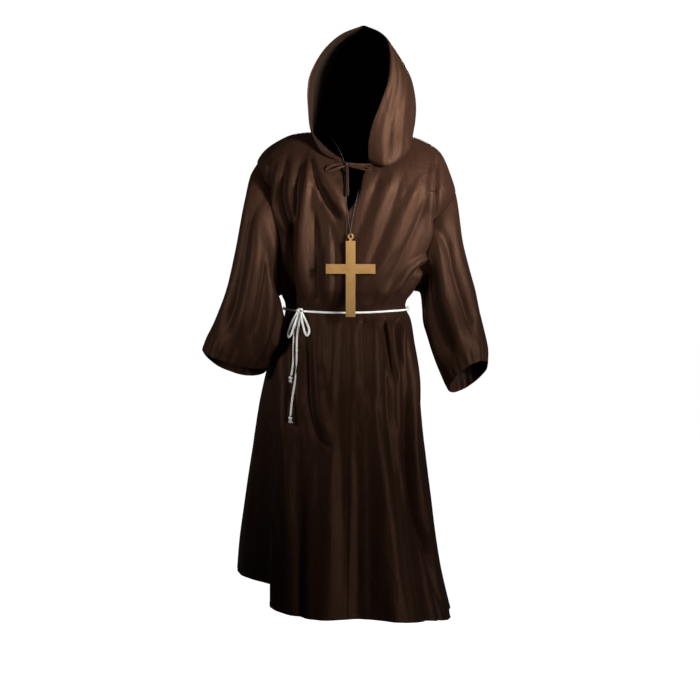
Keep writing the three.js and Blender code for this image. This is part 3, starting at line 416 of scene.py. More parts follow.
def robe_section(drop, turn):
    """Points of the robe without folds, on ovals that sag between front, sides and back."""
    s = sample(BODY, "drop", drop)
    c, n = np.cos(turn * 2 * np.pi), np.sin(turn * 2 * np.pi)
    middle, half = (s["left"] + s["right"]) / 2, (s["right"] - s["left"]) / 2
    side_y = s["yLeft"] + (s["yRight"] - s["yLeft"]) * (1 + c) / 2
    reach = np.where(n < 0, s["front"], s["back"]) - side_y
    side_z = np.where(c < 0, s["zLeft"], s["zRight"])
    end_z = np.where(n < 0, -drop, s["zBack"])
    return np.stack(
        [
            middle + half * signed_power(c, s["square"]),
            side_y + reach * np.abs(n) ** s["square"],
            end_z * n**2 + side_z * c**2,
        ],
        axis=-1,
    )


# Number of gathers round the belt, and half the width of one as a share of a turn.
GATHERS = 64
GATHER_HALF_TURN = 0.0052


def gather_height(drop, turn):
    """Small gathers that fan out above and below the belt, all round."""
    height = np.zeros(np.broadcast(drop, turn).shape)
    for i in range(GATHERS):
        centre = (i + 0.35 * math.sin(2.4 * i)) / GATHERS
        for side, length, size in ((1, 26 + 60 * math.sin(1.7 * i) ** 4, 0.9),
                                   (-1, 18 + 34 * math.cos(2.1 * i) ** 4, 0.8)):
            away = (drop - BELT_DROP) * side
            share = away / length
            offset = (turn - centre - 0.0035 * math.sin(3.3 * i) * share + 0.5) % 1 - 0.5
            inside = (share > 0.02) & (share < 1)
            sign = 1 if i % 2 else -1
            height += (
                sign * size * (0.7 + 0.6 * math.sin(5.1 * i) ** 2)
                * smooth(share, 0.02, 0.2) * (1 - smooth(share, 0.3, 1))
                * np.exp(-((offset / GATHER_HALF_TURN) ** 2)) * inside
            )
    return height


# The cross hangs close in front of the robe: x and z limits, the depth kept free for it, and
# how far beyond the limits, and beyond the lower one, the cloth takes to get back to its folds.
CROSS_FIELD = {"x": (-74, 66), "z": (-508, -286), "y": -155.6, "fade": 24, "low_fade": 30}


def robe_grid(drop, turn):
    """Points of the robe for arrays of drop and turn."""
    point = robe_section(drop, turn)
    step = 0.002
    tangent = robe_section(drop, turn + step) - robe_section(drop, turn - step)
    outward = np.stack([tangent[..., 1], -tangent[..., 0], np.zeros(drop.shape)], axis=-1)
    outward /= np.linalg.norm(outward, axis=-1, keepdims=True)
    n = np.sin(turn * 2 * np.pi)
    front = smooth(-n, 0.02, 0.3)
    height = np.zeros(drop.shape)
    for fold in FRONT_FOLDS:
        height += line_height(fold, point[..., 0], point[..., 2]) * front
    # turn 0 and turn 1 are the same side seam, so what differs between them fades out there
    from_seam = smooth(np.abs(turn - np.round(turn)), 0, 0.025)
    for fold in ROUND_FOLDS:
        height += band_height(fold, turn, drop) * from_seam
    belt = smooth(np.abs(drop - BELT_DROP), 6, 46)
    height = height * belt + gather_height(drop, turn)
    lower = smooth(drop, 600, 1100)
    height += 1.6 * lower * from_seam * ripple(turn * 150, drop * 0.004, 0.4)
    fine = ripple(turn * 130 + drop * 0.03, drop * 0.02, 1.9)
    height += 0.5 * (1 - lower) * belt * from_seam * fine
    point = point + outward * height[..., None]
    x0, x1 = CROSS_FIELD["x"]
    z0, z1 = CROSS_FIELD["z"]
    x, y, z = point[..., 0], point[..., 1], point[..., 2]
    fade, low_fade = CROSS_FIELD["fade"], CROSS_FIELD["low_fade"]
    near = (
        smooth(x, x0 - fade, x0) * (1 - smooth(x, x1, x1 + fade))
        * smooth(z, z0 - low_fade, z0) * (1 - smooth(z, z1, z1 + fade)) * (n < 0)
    )
    limit = CROSS_FIELD["y"] + CLOTH_OUTER
    over = np.maximum(limit - y, 0)
    point[..., 1] = y + over * near
    return point


# Steps beside a seam, and the widths and lengths that turn steps into shares of a sheet.
SEAM_STEP = 3.0
FRONT_WIDTH, BACK_WIDTH = 360, 640
SLEEVE_LENGTH, HOOD_HEIGHT = 560, 420


def spread(count, edge, length):
    """Shares from 0 to 1 across a panel, closer together along both seams."""
    fine = np.array([0, 0.35 * edge, edge, 2.2 * edge]) / length
    inner = np.linspace(fine[-1], 1 - fine[-1], count + 1 - 2 * (len(fine) - 1))
    return np.concatenate([fine[:-1], inner, (1 - fine[:-1])[::-1]])


def robe_rows():
    """Drop of each row of the robe, and how far it lies within the armhole's oval, 0 to 1."""
    drops, ovals = [], []
    top = BODY["drop"][0]
    for i in range(YOKE_ROWS):
        drops.append(top + (SHOULDER_TIP_DROP - top) * i / YOKE_ROWS)
        ovals.append(0)
    for i in range(ARMHOLE_ROWS):
        angle = math.pi * i / ARMHOLE_ROWS
        drops.append(SHOULDER_TIP_DROP + (UNDERARM_DROP - SHOULDER_TIP_DROP) * (1 - math.cos(angle)) / 2)
        ovals.append(math.sin(angle))
    skirt_top = 2 * BELT_DROP - UNDERARM_DROP
    for i in range(WAIST_ROWS):
        drops.append(UNDERARM_DROP + (skirt_top - UNDERARM_DROP) * i / WAIST_ROWS)
        ovals.append(0)
    hem_steps = [HEM_DROP - d for d in (17, 15, 13.4, 12.2, 11.2, 10.2, 9, 6, 3, 1, 0)]
    for i in range(SKIRT_ROWS):
        drops.append(skirt_top + (hem_steps[0] - 4 - skirt_top) * i / (SKIRT_ROWS - 1))
        ovals.append(0)
    drops += hem_steps
    ovals += [0] * len(hem_steps)
    return np.array(drops, float), np.array(ovals, float)


def solve(difference, low, high):
    """Where a function of arrays crosses zero between low and high, row by row."""
    low, high = np.array(low, float), np.array(high, float)
    sign = np.sign(difference(low))
    sign = np.where(sign == 0, -np.sign(difference(high)), sign)
    for _ in range(44):
        middle = (low + high) / 2
        same = np.sign(difference(middle)) == sign
        low, high = np.where(same, middle, low), np.where(same, high, middle)
    return (low + high) / 2


def side_turn(drops, ovals, seam_turn, towards):
    """Turn of a panel's side edge in each row: the side seam, or the armhole's edge."""
    seam_y = robe_section(drops, np.full(drops.shape, float(seam_turn)))[..., 1]
    front = math.sin(2 * math.pi * (seam_turn + towards)) < 0
    target = seam_y + (-1 if front else 1) * ARMHOLE_HALF_DEPTH * ovals
    start = np.full(drops.shape, float(seam_turn))
    found = solve(lambda t: robe_section(drops, t)[..., 1] - target, start, start + towards)
    return np.where(ovals < 1e-6, seam_turn, found)


def centre_turn(drops, side):
    """Turn of a front panel's inner edge in each row: the neck slit, then the centre seam."""
    x = sample(SLIT, "drop", np.minimum(drops, SLIT["drop"][-1]))[side]
    low, high = np.full(drops.shape, 0.6), np.full(drops.shape, 0.9)
    return solve(lambda t: robe_section(drops, t)[..., 0] - x, low, high)


DROPS, OVALS = robe_rows()
FRONT_SHARES = spread(FRONT_COLUMNS, SEAM_STEP, FRONT_WIDTH)
BACK_SHARES = spread(BACK_COLUMNS, SEAM_STEP, BACK_WIDTH)


def panel(shares, start, end):
    """The grid of one panel between the turns of its two edges."""
    turn = start[:, None] + (end - start)[:, None] * shares[None, :]
    drop = np.broadcast_to(DROPS[:, None], turn.shape)
    return robe_grid(drop, turn)


right_side_front = side_turn(DROPS, OVALS, 0.5, 0.2)
right_side_back = side_turn(DROPS, OVALS, 0.5, -0.2)
left_side_front = side_turn(DROPS, OVALS, 1, -0.2)
left_side_back = side_turn(DROPS, OVALS, 0, 0.2)
front_right = panel(FRONT_SHARES, right_side_front, centre_turn(DROPS, "right"))
front_left = panel(FRONT_SHARES, centre_turn(DROPS, "left"), left_side_front)
back = panel(BACK_SHARES, left_side_back, right_side_back)


# Sleeves
def armhole(front_panel, front_column, back_column):
    """The armhole as one loop: down the front panel's edge and up the back's."""
    rows = slice(YOKE_ROWS, YOKE_ROWS + ARMHOLE_ROWS + 1)
    down = front_panel[rows, front_column]
    up = back[YOKE_ROWS + 1 : YOKE_ROWS + ARMHOLE_ROWS, back_column][::-1]
    return np.vstack([down, up])


def sleeve_section(rows, along, turn):
    s = sample(rows, "along", along)
    c, n = np.cos(turn * 2 * np.pi), np.sin(turn * 2 * np.pi)
    return np.stack(
        [
            (s["outX"] + s["inX"]) / 2 + c * (s["outX"] - s["inX"]) / 2,
            s["midY"] - n * s["halfY"],
            (s["outZ"] + s["inZ"]) / 2 + c * (s["outZ"] - s["inZ"]) / 2
            + n * np.where(n > 0, s["lift"], s["sag"]),
        ],
        axis=-1,
    )


def sleeve(rows, folds, loop, seed):
    """The grid of a sleeve, from its armhole seam to its cuff."""
    count = len(loop)
    ends = np.array([0, 1.2, 3.4, 7]) / SLEEVE_LENGTH
    cuff = 1 - np.array([17, 15, 13, 12, 11, 10, 9, 5, 1, 0]) / SLEEVE_LENGTH
    between = np.linspace(ends[-1], cuff[0] - 4 / SLEEVE_LENGTH, SLEEVE_ROWS)
    along = np.concatenate([ends[:-1], between, cuff])
    turn = np.arange(count) / count
    along, turn = np.meshgrid(along, turn, indexing="ij")
    point = sleeve_section(rows, along, turn)
    middle = (sleeve_section(rows, along, 0 * turn) + sleeve_section(rows, along, 0 * turn + 0.5)) / 2
    outward = point - middle
    outward /= np.linalg.norm(outward, axis=-1, keepdims=True)
    height = np.zeros(along.shape)
    for fold in folds:
        height += band_height(fold, turn, along)
    height += 0.9 * smooth(along, 0.04, 0.3) * ripple(turn * 26 + along * 3, along * 9, seed)
    gather = smooth(along, 0.86, 0.97) * (1 - smooth(along, 0.985, 1))
    height += 1.4 * gather * np.sin(turn * 2 * np.pi * 24 + 2 * np.sin(turn * 12))
    point = point + outward * height[..., None]
    seat = loop[None] - sleeve_section(rows, 0 * along, turn)
    return point + seat * (1 - smooth(along, 0, 0.35))[..., None]


sleeve_right = sleeve(SLEEVE_RIGHT, SLEEVE_RIGHT_FOLDS, armhole(front_right, 0, -1), 0.7)
sleeve_left = sleeve(SLEEVE_LEFT, SLEEVE_LEFT_FOLDS, armhole(front_left, -1, 0), 2.2)


# Hood
# Folds of the hood: angle from the side towards the rim and share of the height, at both ends,
# then half width as an angle and the heights.
HOOD_FOLDS_LEFT = [
    (0.9, 0.02, 0.62, 0.7, 0.1, 4, 3),
    (1.18, 0.06, 1.1, 0.8, 0.09, -4, -3),
    (0.55, 0.1, 0.35, 0.75, 0.11, -4, -3),
    (0.2, 0.06, 0.12, 0.7, 0.1, 4, 3),
    (-0.4, 0.05, -0.5, 0.6, 0.13, -4, -4),
    (-0.9, 0.05, -0.9, 0.7, 0.14, 5, 4),
]
HOOD_FOLDS_RIGHT = [
    (1.1, 0.06, 1.0, 0.7, 0.1, 3, 3),
    (0.75, 0.03, 0.6, 0.6, 0.09, -4, -3),
    (0.3, 0.05, 0.25, 0.75, 0.11, 4, 3),
    (-0.4, 0.05, -0.5, 0.6, 0.13, -4, -4),
    (-0.9, 0.05, -0.9, 0.7, 0.14, 5, 4),
]


# Where the hood's foot sags over the neck seam: up, angle, and how far it moves in x, y and z.
HOOD_LEFT_DROOP = (0.05, 0.9, 6, -24, -38)
HOOD_RIGHT_DROOP = (0.06, 0.9, -4, -10, -12)
DROOP_FADE = 0.17
DROOP_HALF_ANGLE = 0.62


def hood_section(rows, up, angle, front):
    s = sample(rows, "up", up)
    n = np.sin(angle)
    end = [np.where(front, s["rim" + axis], s["back" + axis]) for axis in "XYZ"]
    return np.stack(
        [
            end[0] + (s["sideX"] - end[0]) * np.cos(angle),
            s["sideY"] + (end[1] - s["sideY"]) * n,
            s["sideZ"] + (end[2] - s["sideZ"]) * n**2,
        ],
        axis=-1,
    )


def hood_half(rows, folds, neck, angle, front, seed, droop_place):
    """The grid of half a hood; its columns run from the rim by the side to the centre back."""
    inset = 7 / HOOD_HEIGHT
    up = np.concatenate([
        np.array([0, 1.2, 3.4]) / HOOD_HEIGHT,
        np.linspace(inset, 1 - inset, HOOD_ROWS),
        1 - np.array([3.4, 1.2, 0]) / HOOD_HEIGHT,
    ])
    up, angles = np.meshgrid(up, angle, indexing="ij")
    fronts = np.broadcast_to(front, up.shape)
    point = hood_section(rows, up, angles, fronts)
    shift = neck[None] - hood_section(rows, 0 * up, angles, fronts)
    point = point + shift * ((1 - up) ** 4)[..., None]
    above_edge = np.maximum(up - droop_place[0], 0)
    droop = smooth(up, 0, droop_place[0]) * np.exp(-((above_edge / DROOP_FADE) ** 2))
    droop = droop * np.exp(-(((angles - droop_place[1]) / DROOP_HALF_ANGLE) ** 4)) * fronts
    point = point + droop[..., None] * np.array(droop_place[2:])
    centre = point.mean(axis=1, keepdims=True)
    outward = point - centre
    outward /= np.linalg.norm(outward, axis=-1, keepdims=True)
    signed = np.where(fronts, angles, -angles)
    height = np.zeros(up.shape)
    for fold in folds:
        height += band_height(fold, signed, up)
    calm = smooth(signed, -np.pi / 2, -1.1) * smooth(up, 0, 0.1) * (1 - smooth(up, 0.9, 1))
    height += 0.7 * calm * ripple(signed * 7, up * 14, seed)
    return point + outward * height[..., None]


middle = BACK_COLUMNS // 2
front_angles = (1 - FRONT_SHARES) * np.pi / 2
back_share_left = BACK_SHARES[1 : middle + 1] * 2
angles = np.concatenate([front_angles, back_share_left * np.pi / 2])
is_front = np.arange(len(angles)) < len(front_angles)
hood_right = hood_half(
    HOOD_RIGHT, HOOD_FOLDS_RIGHT,
    np.vstack([front_right[0][::-1], back[0][middle:-1][::-1]]), angles, is_front, 0.3, HOOD_RIGHT_DROOP,
)
hood_left = hood_half(
    HOOD_LEFT, HOOD_FOLDS_LEFT,
    np.vstack([front_left[0], back[0][1 : middle + 1]]), angles, is_front, 1.1, HOOD_LEFT_DROOP,
)

# Cloth shells
SHEETS = {
    "front_right": {"grid": front_right, "seams": "tfl", "hem": True},
    "front_left": {"grid": front_left, "seams": "tfl", "hem": True},
    "back": {"grid": back, "seams": "tfl", "hem": True},
    "sleeve_right": {"grid": sleeve_right, "seams": "t", "closed": True, "hem": True},
    "sleeve_left": {"grid": sleeve_left, "seams": "t", "closed": True, "hem": True},
    "hood_right": {"grid": hood_right, "seams": "tbl", "rim": True},
    "hood_left": {"grid": hood_left, "seams": "tbl", "rim": True},
}


def face_normals(grid, closed):
    """Sums of face normals at each point of a grid."""
    wide = np.concatenate([grid, grid[:, :1]], axis=1) if closed else grid
    d1 = wide[1:, 1:] - wide[:-1, :-1]
    d2 = wide[1:, :-1] - wide[:-1, 1:]
    normal = np.cross(d1, d2)
    total = np.zeros(wide.shape)
    for di in (0, 1):
        for dj in (0, 1):
            total[di : di + normal.shape[0], dj : dj + normal.shape[1]] += normal
    if closed:
        total[:, 0] += total[:, -1]
        total = total[:, :-1]
    return total


def outward_sign(name, grid, total):
    """+1 or -1 so that the normals point away from the middle of each row."""
    row = grid.shape[0] // 2
    if name.startswith("hood"):
        centre = np.array([25.0, 0, grid[row, :, 2].mean()])
    elif name.startswith("sleeve"):
        centre = grid[row].mean(axis=0)
    else:
        centre = np.array([0.0, 0, grid[row, :, 2].mean()])
    return 1 if ((grid[row] - centre) * total[row]).sum() > 0 else -1


all_keys, all_normals, owners = [], [], []
for name, sheet in SHEETS.items():
    grid = sheet["grid"]
    total = face_normals(grid, sheet.get("closed", False))
    sheet["sign"] = outward_sign(name, grid, total)
    all_keys.append(np.round(grid.reshape(-1, 3) * 50).astype(np.int64))
    all_normals.append((total * sheet["sign"]).reshape(-1, 3))
    owners.append(len(grid.reshape(-1, 3)))
unique, inverse = np.unique(np.vstack(all_keys), axis=0, return_inverse=True)
inverse = inverse.ravel()
summed = np.zeros((len(unique), 3))
np.add.at(summed, inverse, np.vstack(all_normals))
welded = summed[inverse]
welded /= np.linalg.norm(welded, axis=1, keepdims=True)
start = 0
for (name, sheet), count in zip(SHEETS.items(), owners):
    sheet["normal"] = welded[start : start + count].reshape(sheet["grid"].shape)
    start += count


def edge_distance(grid, axis, from_end):
    """Distance in millimetres of each point from one edge of its grid."""
    steps = np.linalg.norm(np.diff(grid, axis=axis), axis=-1)
    run = np.cumsum(steps, axis=axis)
    pad = [(1, 0), (0, 0)] if axis == 0 else [(0, 0), (1, 0)]
    run = np.pad(run, pad)
    total = run[-1:] if axis == 0 else run[:, -1:]
    return total - run if from_end else run


# Relief of the cloth: a seam is a groove with a low ridge beside it, where the turning lies under
# the cloth; a hem is a raised band that ends in a step, with a groove under its stitches.
SEAM_WIDTH, SEAM_DEPTH = 2.6, 0.85
RIDGE_PLACE, RIDGE_WIDTH, RIDGE_RISE = 8, 2.2, 0.35
HEM_WIDTH, HEM_RISE, HEM_STEP = 11.5, 0.55, 1.6
GROOVE_DEPTH, GROOVE_WIDTH = 0.5, 0.9

# Inside hems, cuffs and the hood's rim the turned-in cloth shows its right side this far up.
TURNED_WIDTH = 24


def relief(sheet):
    """Rise of the outer face: sunk at seams, raised at hems with a groove at their stitches."""
    grid = sheet["grid"]
    rise = np.zeros(grid.shape[:2])
    edges = {"t": (0, False), "b": (0, True), "f": (1, False), "l": (1, True)}
    for letter in sheet["seams"]:
        d = edge_distance(grid, *edges[letter])
        rise -= SEAM_DEPTH * np.exp(-((d / SEAM_WIDTH) ** 2))
        rise += RIDGE_RISE * np.exp(-(((d - RIDGE_PLACE) / RIDGE_WIDTH) ** 2))
    hems = []
    if sheet.get("hem"):
        hems.append(edge_distance(grid, 0, True))
    if "rim" in sheet:
        hems.append(edge_distance(grid, 1, False))
    for d in hems:
        rise += HEM_RISE * (1 - smooth(d, HEM_WIDTH, HEM_WIDTH + HEM_STEP))
        rise -= GROOVE_DEPTH * np.exp(-(((d - HEM_WIDTH + HEM_STEP) / GROOVE_WIDTH) ** 2))
    return rise


def link(name, mesh):
    piece = bpy.data.objects.new(name, mesh)
    bpy.context.collection.objects.link(piece)
    return piece


def make_mesh(name, points, quads, uv):
    """A mesh in metres from four-cornered faces, with points and their uv in millimetres."""
    mesh = bpy.data.meshes.new(name)
    points = np.asarray(points, float) * MM
    quads = np.asarray(quads, np.int32)
    sides = 4
    mesh.vertices.add(len(points))
    mesh.vertices.foreach_set("co", points.ravel())
    mesh.loops.add(quads.size)
    mesh.loops.foreach_set("vertex_index", quads.ravel())
    mesh.polygons.add(len(quads))
    mesh.polygons.foreach_set("loop_start", np.arange(len(quads), dtype=np.int32) * sides)
    mesh.polygons.foreach_set("loop_total", np.full(len(quads), sides, np.int32))
    mesh.polygons.foreach_set("use_smooth", np.full(len(quads), True))
    layer = mesh.uv_layers.new(name="cloth")
    layer.data.foreach_set("uv", (uv[quads.ravel()] * MM).astype(np.float32).ravel())
    mesh.update()
    mesh.validate()
    return link(name, mesh)


def shell(name, sheet):
    """One piece of cloth with two faces and closed edges, and which faces show the wrong side."""
    grid, normal = sheet["grid"], sheet["normal"]
    closed = sheet.get("closed", False)
    rows, columns = grid.shape[:2]
    rise = relief(sheet)
    outer = grid + normal * (CLOTH_OUTER + rise)[..., None]
    inner = grid + normal * CLOTH_INNER
    sheet["outer"] = outer
    down = edge_distance(grid, 0, False)
    across = edge_distance(grid, 1, False)
    uv = np.stack([across, -down], axis=-1).reshape(-1, 2)
    index = np.arange(rows * columns).reshape(rows, columns)
    if closed:
        index = np.concatenate([index, index[:, :1]], axis=1)
    a, b = index[:-1, :-1].ravel(), index[:-1, 1:].ravel()
    c, d = index[1:, 1:].ravel(), index[1:, :-1].ravel()
    count = rows * columns
    outer_faces = np.stack([a, b, c, d], axis=1)
    inner_faces = np.stack([d, c, b, a], axis=1) + count
    rims = []

    def rim(line, flip):
        p, q = line[:-1], line[1:]
        face = np.stack([q, p, p + count, q + count], axis=1)
        rims.append(face[:, ::-1] if flip else face)

    rim(index[0], False)
    rim(index[-1], True)
    if not closed:
        rim(index[:, 0], True)
        rim(index[:, -1], False)
    faces = np.concatenate([outer_faces, inner_faces] + rims)
    if sheet["sign"] < 0:
        faces = faces[:, ::-1]
    points = np.concatenate([outer.reshape(-1, 3), inner.reshape(-1, 3)])
    piece = make_mesh(name, points, faces, np.concatenate([uv, uv]))
    to_edge = across if name.startswith("hood") else down[-1:] - down
    turned = (to_edge < TURNED_WIDTH).ravel()
    reverse = np.zeros(len(faces), np.int32)
    reverse[len(outer_faces) : 2 * len(outer_faces)] = ~turned[a] & 1
    return piece, reverse


# Node materials
def principled(name, **sockets):
    material = bpy.data.materials.new(name)
    material.use_nodes = True
    shader = material.node_tree.nodes["Principled BSDF"]
    for socket, value in sockets.items():
        shader.inputs[socket.replace("_", " ")].default_value = value
    return material, material.node_tree, shader


def node(tree, kind, **settings):
    made = tree.nodes.new(kind)
    for key, value in settings.items():
        if hasattr(made, key):
            setattr(made, key, value)
        else:
            made.inputs[key.replace("_", " ")].default_value = value
    return made


def ramp(tree, source, stops):
    made = tree.nodes.new("ShaderNodeValToRGB")
    elements = made.color_ramp.elements
    while len(elements) < len(stops):
        elements.new(0.5)
    for element, (place, colour) in zip(elements, stops):
        element.position = place
        element.color = (*colour, 1)
    tree.links.new(source, made.inputs["Fac"])
    return made


def bump(tree, height, strength, distance, under=None):
    made = tree.nodes.new("ShaderNodeBump")
    made.inputs["Strength"].default_value = strength
    made.inputs["Distance"].default_value = distance
    tree.links.new(height, made.inputs["Height"])
    if under is not None:
        tree.links.new(under.outputs["Normal"], made.inputs["Normal"])
    return made


def cloth_material(name, dark, light, roughness, sheen):
    """Brown polyester satin: a fine weave, small wrinkles, uneven roughness and a broad sheen."""
    low, high = roughness
    material, tree, shader = principled(
        name, Specular_IOR_Level=0.27, Specular_Tint=(0.7, 0.36, 0.22, 1),
        Sheen_Weight=sheen, Sheen_Roughness=0.5, Sheen_Tint=(0.6, 0.33, 0.22, 1),
    )
    place = node(tree, "ShaderNodeTexCoord")
    broad = node(tree, "ShaderNodeTexNoise", Scale=7.0, Detail=3.0)
    tree.links.new(place.outputs["Object"], broad.inputs["Vector"])
    colour = ramp(tree, broad.outputs["Fac"], [(0.3, dark), (0.7, light)])
    uv = node(tree, "ShaderNodeUVMap", uv_map="cloth")
    warp = node(tree, "ShaderNodeTexWave", bands_direction="X", Scale=420.0, Distortion=0.6)
    weft = node(tree, "ShaderNodeTexWave", bands_direction="Y", Scale=340.0, Distortion=0.6)
    for wave in (warp, weft):
        tree.links.new(uv.outputs["UV"], wave.inputs["Vector"])
    weave = node(tree, "ShaderNodeMath", operation="MULTIPLY")
    tree.links.new(warp.outputs["Fac"], weave.inputs[0])
    tree.links.new(weft.outputs["Fac"], weave.inputs[1])
    shade = node(tree, "ShaderNodeMixRGB", blend_type="MULTIPLY", Fac=0.16)
    tree.links.new(colour.outputs["Color"], shade.inputs["Color1"])
    tree.links.new(weave.outputs["Value"], shade.inputs["Color2"])
    tree.links.new(shade.outputs["Color"], shader.inputs["Base Color"])
    slub_place = node(tree, "ShaderNodeMapping", vector_type="POINT")
    slub_place.inputs["Scale"].default_value = (60, 14, 1)
    tree.links.new(uv.outputs["UV"], slub_place.inputs["Vector"])
    slub = node(tree, "ShaderNodeTexNoise", Scale=1.0, Detail=4.0, Roughness=0.55)
    tree.links.new(slub_place.outputs["Vector"], slub.inputs["Vector"])
    rough = node(tree, "ShaderNodeMapRange")
    rough.inputs["To Min"].default_value = low
    rough.inputs["To Max"].default_value = high
    tree.links.new(slub.outputs["Fac"], rough.inputs["Value"])
    tree.links.new(rough.outputs["Result"], shader.inputs["Roughness"])
    wrinkle_place = node(tree, "ShaderNodeMapping", vector_type="POINT")
    wrinkle_place.inputs["Scale"].default_value = (26, 26, 9)
    tree.links.new(place.outputs["Object"], wrinkle_place.inputs["Vector"])
    wrinkle = node(tree, "ShaderNodeTexNoise", Scale=1.0, Detail=2.5, Roughness=0.5, Distortion=1.4)
    tree.links.new(wrinkle_place.outputs["Vector"], wrinkle.inputs["Vector"])
    wrinkles = bump(tree, wrinkle.outputs["Fac"], 0.5, 0.0045)
    creases = bump(tree, slub.outputs["Fac"], 0.15, 0.0016, wrinkles)
    threads = bump(tree, weave.outputs["Value"], 0.25, 0.0002, creases)
    tree.links.new(threads.outputs["Normal"], shader.inputs["Normal"])
    return material


def thread_material(name, light, dark, scale, roughness, sheen, **sockets):
    """Rope, cord or thread: a fine uneven tone and fine bumps from noise."""
    material, tree, shader = principled(name, Roughness=roughness, Sheen_Weight=sheen, **sockets)
    place = node(tree, "ShaderNodeTexCoord")
    fibre = node(tree, "ShaderNodeTexNoise", Scale=scale, Detail=5.0, Roughness=0.6)
    tree.links.new(place.outputs["Object"], fibre.inputs["Vector"])
    colour = ramp(tree, fibre.outputs["Fac"], [(0.3, dark), (0.62, light)])
    tree.links.new(colour.outputs["Color"], shader.inputs["Base Color"])
    fine = bump(tree, fibre.outputs["Fac"], 0.5, 0.0004)
    tree.links.new(fine.outputs["Normal"], shader.inputs["Normal"])
    return material


def cross_material():
    """Gold-coloured moulded plastic with faint speckles and a slightly uneven face."""
    material, tree, shader = principled(
        "cross_gold", Roughness=0.42, Metallic=0.35, Specular_IOR_Level=0.5, Coat_Weight=0.15,
        Coat_Roughness=0.3,
    )
    place = node(tree, "ShaderNodeTexCoord")
    speck = node(tree, "ShaderNodeTexNoise", Scale=900.0, Detail=3.0)
    broad = node(tree, "ShaderNodeTexNoise", Scale=30.0, Detail=4.0)
    for texture in (speck, broad):
        tree.links.new(place.outputs["Object"], texture.inputs["Vector"])
    base = ramp(tree, broad.outputs["Fac"], [(0.3, (0.40, 0.219, 0.0655)), (0.7, (0.462, 0.266, 0.0925))])
    spots = ramp(tree, speck.outputs["Fac"], [(0.36, (0.62, 0.5, 0.36)), (0.46, (1, 1, 1))])
    mixed = node(tree, "ShaderNodeMixRGB", blend_type="MULTIPLY", Fac=0.7)
    tree.links.new(base.outputs["Color"], mixed.inputs["Color1"])
    tree.links.new(spots.outputs["Color"], mixed.inputs["Color2"])
    tree.links.new(mixed.outputs["Color"], shader.inputs["Base Color"])
    grain = bump(tree, speck.outputs["Fac"], 0.12, 0.0003)
    tree.links.new(grain.outputs["Normal"], shader.inputs["Normal"])
    return material


ROBE = cloth_material("robe_satin", (0.019, 0.0082, 0.0050), (0.0225, 0.0097, 0.0060), (0.47, 0.58), 0.03)
ROBE_BACK = cloth_material("robe_reverse", (0.015, 0.0105, 0.008), (0.019, 0.0132, 0.0102), (0.7, 0.8), 0.0)
SEWING = thread_material("sewing_thread", (0.05, 0.026, 0.018), (0.026, 0.013, 0.009), 1500.0, 0.6, 0.2)
ROPE = thread_material("rope_cotton", (0.93, 0.91, 0.87), (0.78, 0.76, 0.71), 700.0, 0.85, 0.3)
CORD = thread_material("black_cord", (0.022, 0.018, 0.016), (0.008, 0.007, 0.006), 1200.0, 0.6, 0.2)
TIE_CLOTH = thread_material(
    "tie_satin", (0.025, 0.0110, 0.0068), (0.016, 0.0070, 0.0044), 900.0, 0.55, 0.03,
    Specular_IOR_Level=0.22, Specular_Tint=(0.72, 0.42, 0.3, 1),
)
CROSS = cross_material()


def dress(piece, material, slot, *nodes, body="robe"):
    """Gives a piece its material and body, and hides the nodes it stands for. The slot is not used."""
    piece.data.materials.clear()
    piece.data.materials.append(material)
    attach(piece, body)
    if nodes:
        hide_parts(*nodes)
    return piece


# Ropes and cords
# How far a rope's surface lies out, as a share of its radius: between strands, and more on them.
STRAND_VALLEY, STRAND_RISE = 0.84, 0.2


def frames_along(line):
    """Two directions square to the line at each point, turned as little as possible."""
    tangent = np.gradient(line, axis=0)
    tangent /= np.linalg.norm(tangent, axis=1, keepdims=True)
    across = np.zeros(line.shape)
    guide = np.array([0, 0, 1.0]) if abs(tangent[0][2]) < 0.9 else np.array([0, 1.0, 0])
    for i, t in enumerate(tangent):
        guide = guide - t * guide.dot(t)
        guide /= np.linalg.norm(guide)
        across[i] = guide
    return across, np.cross(tangent, across)


def even(line, step):
    """The same line with points an even step apart."""
    length = np.concatenate([[0], np.cumsum(np.linalg.norm(np.diff(line, axis=0), axis=1))])
    count = max(int(length[-1] / step), 3)
    at = np.linspace(0, length[-1], count + 1)
    return np.stack([np.interp(at, length, line[:, k]) for k in range(3)], axis=1), at


def tube_faces(rings, sides, offset=0):
    faces = []
    for i in range(rings - 1):
        for k in range(sides):
            n = (k + 1) % sides
            faces.append([i * sides + k, i * sides + n, (i + 1) * sides + n, (i + 1) * sides + k])
    return np.array(faces) + offset


def rope_points(route, radius, sides=15, step=2.0, pitch=13.0, strands=3):
    """Points and faces of a twisted rope with rounded closed ends, and its middle line."""
    line, at = even(catmull(route, 12), step)
    across, through = frames_along(line)
    angle = np.arange(sides) / sides * 2 * np.pi
    points = []
    for i, middle in enumerate(line):
        twist = 2 * np.pi * at[i] / pitch
        lobe = STRAND_VALLEY + STRAND_RISE * np.abs(np.cos(strands / 2 * (angle - twist)))
        end = min(at[i], at[-1] - at[i])
        close = math.sqrt(max(1 - (1 - min(end / radius, 1)) ** 2, 0.02))
        r = radius * lobe * close
        points.append(
            middle + across[i] * (r * np.cos(angle))[:, None]
            + through[i] * (r * np.sin(angle))[:, None]
        )
    return *caps(np.vstack(points), tube_faces(len(line), sides), sides), line


def merged(parts):
    """Several sets of points and faces as one."""
    points, faces, offset = [], [], 0
    for p, f in parts:
        points.append(p)
        faces.append(f + offset)
        offset += len(p)
    return np.vstack(points), np.vstack(faces)


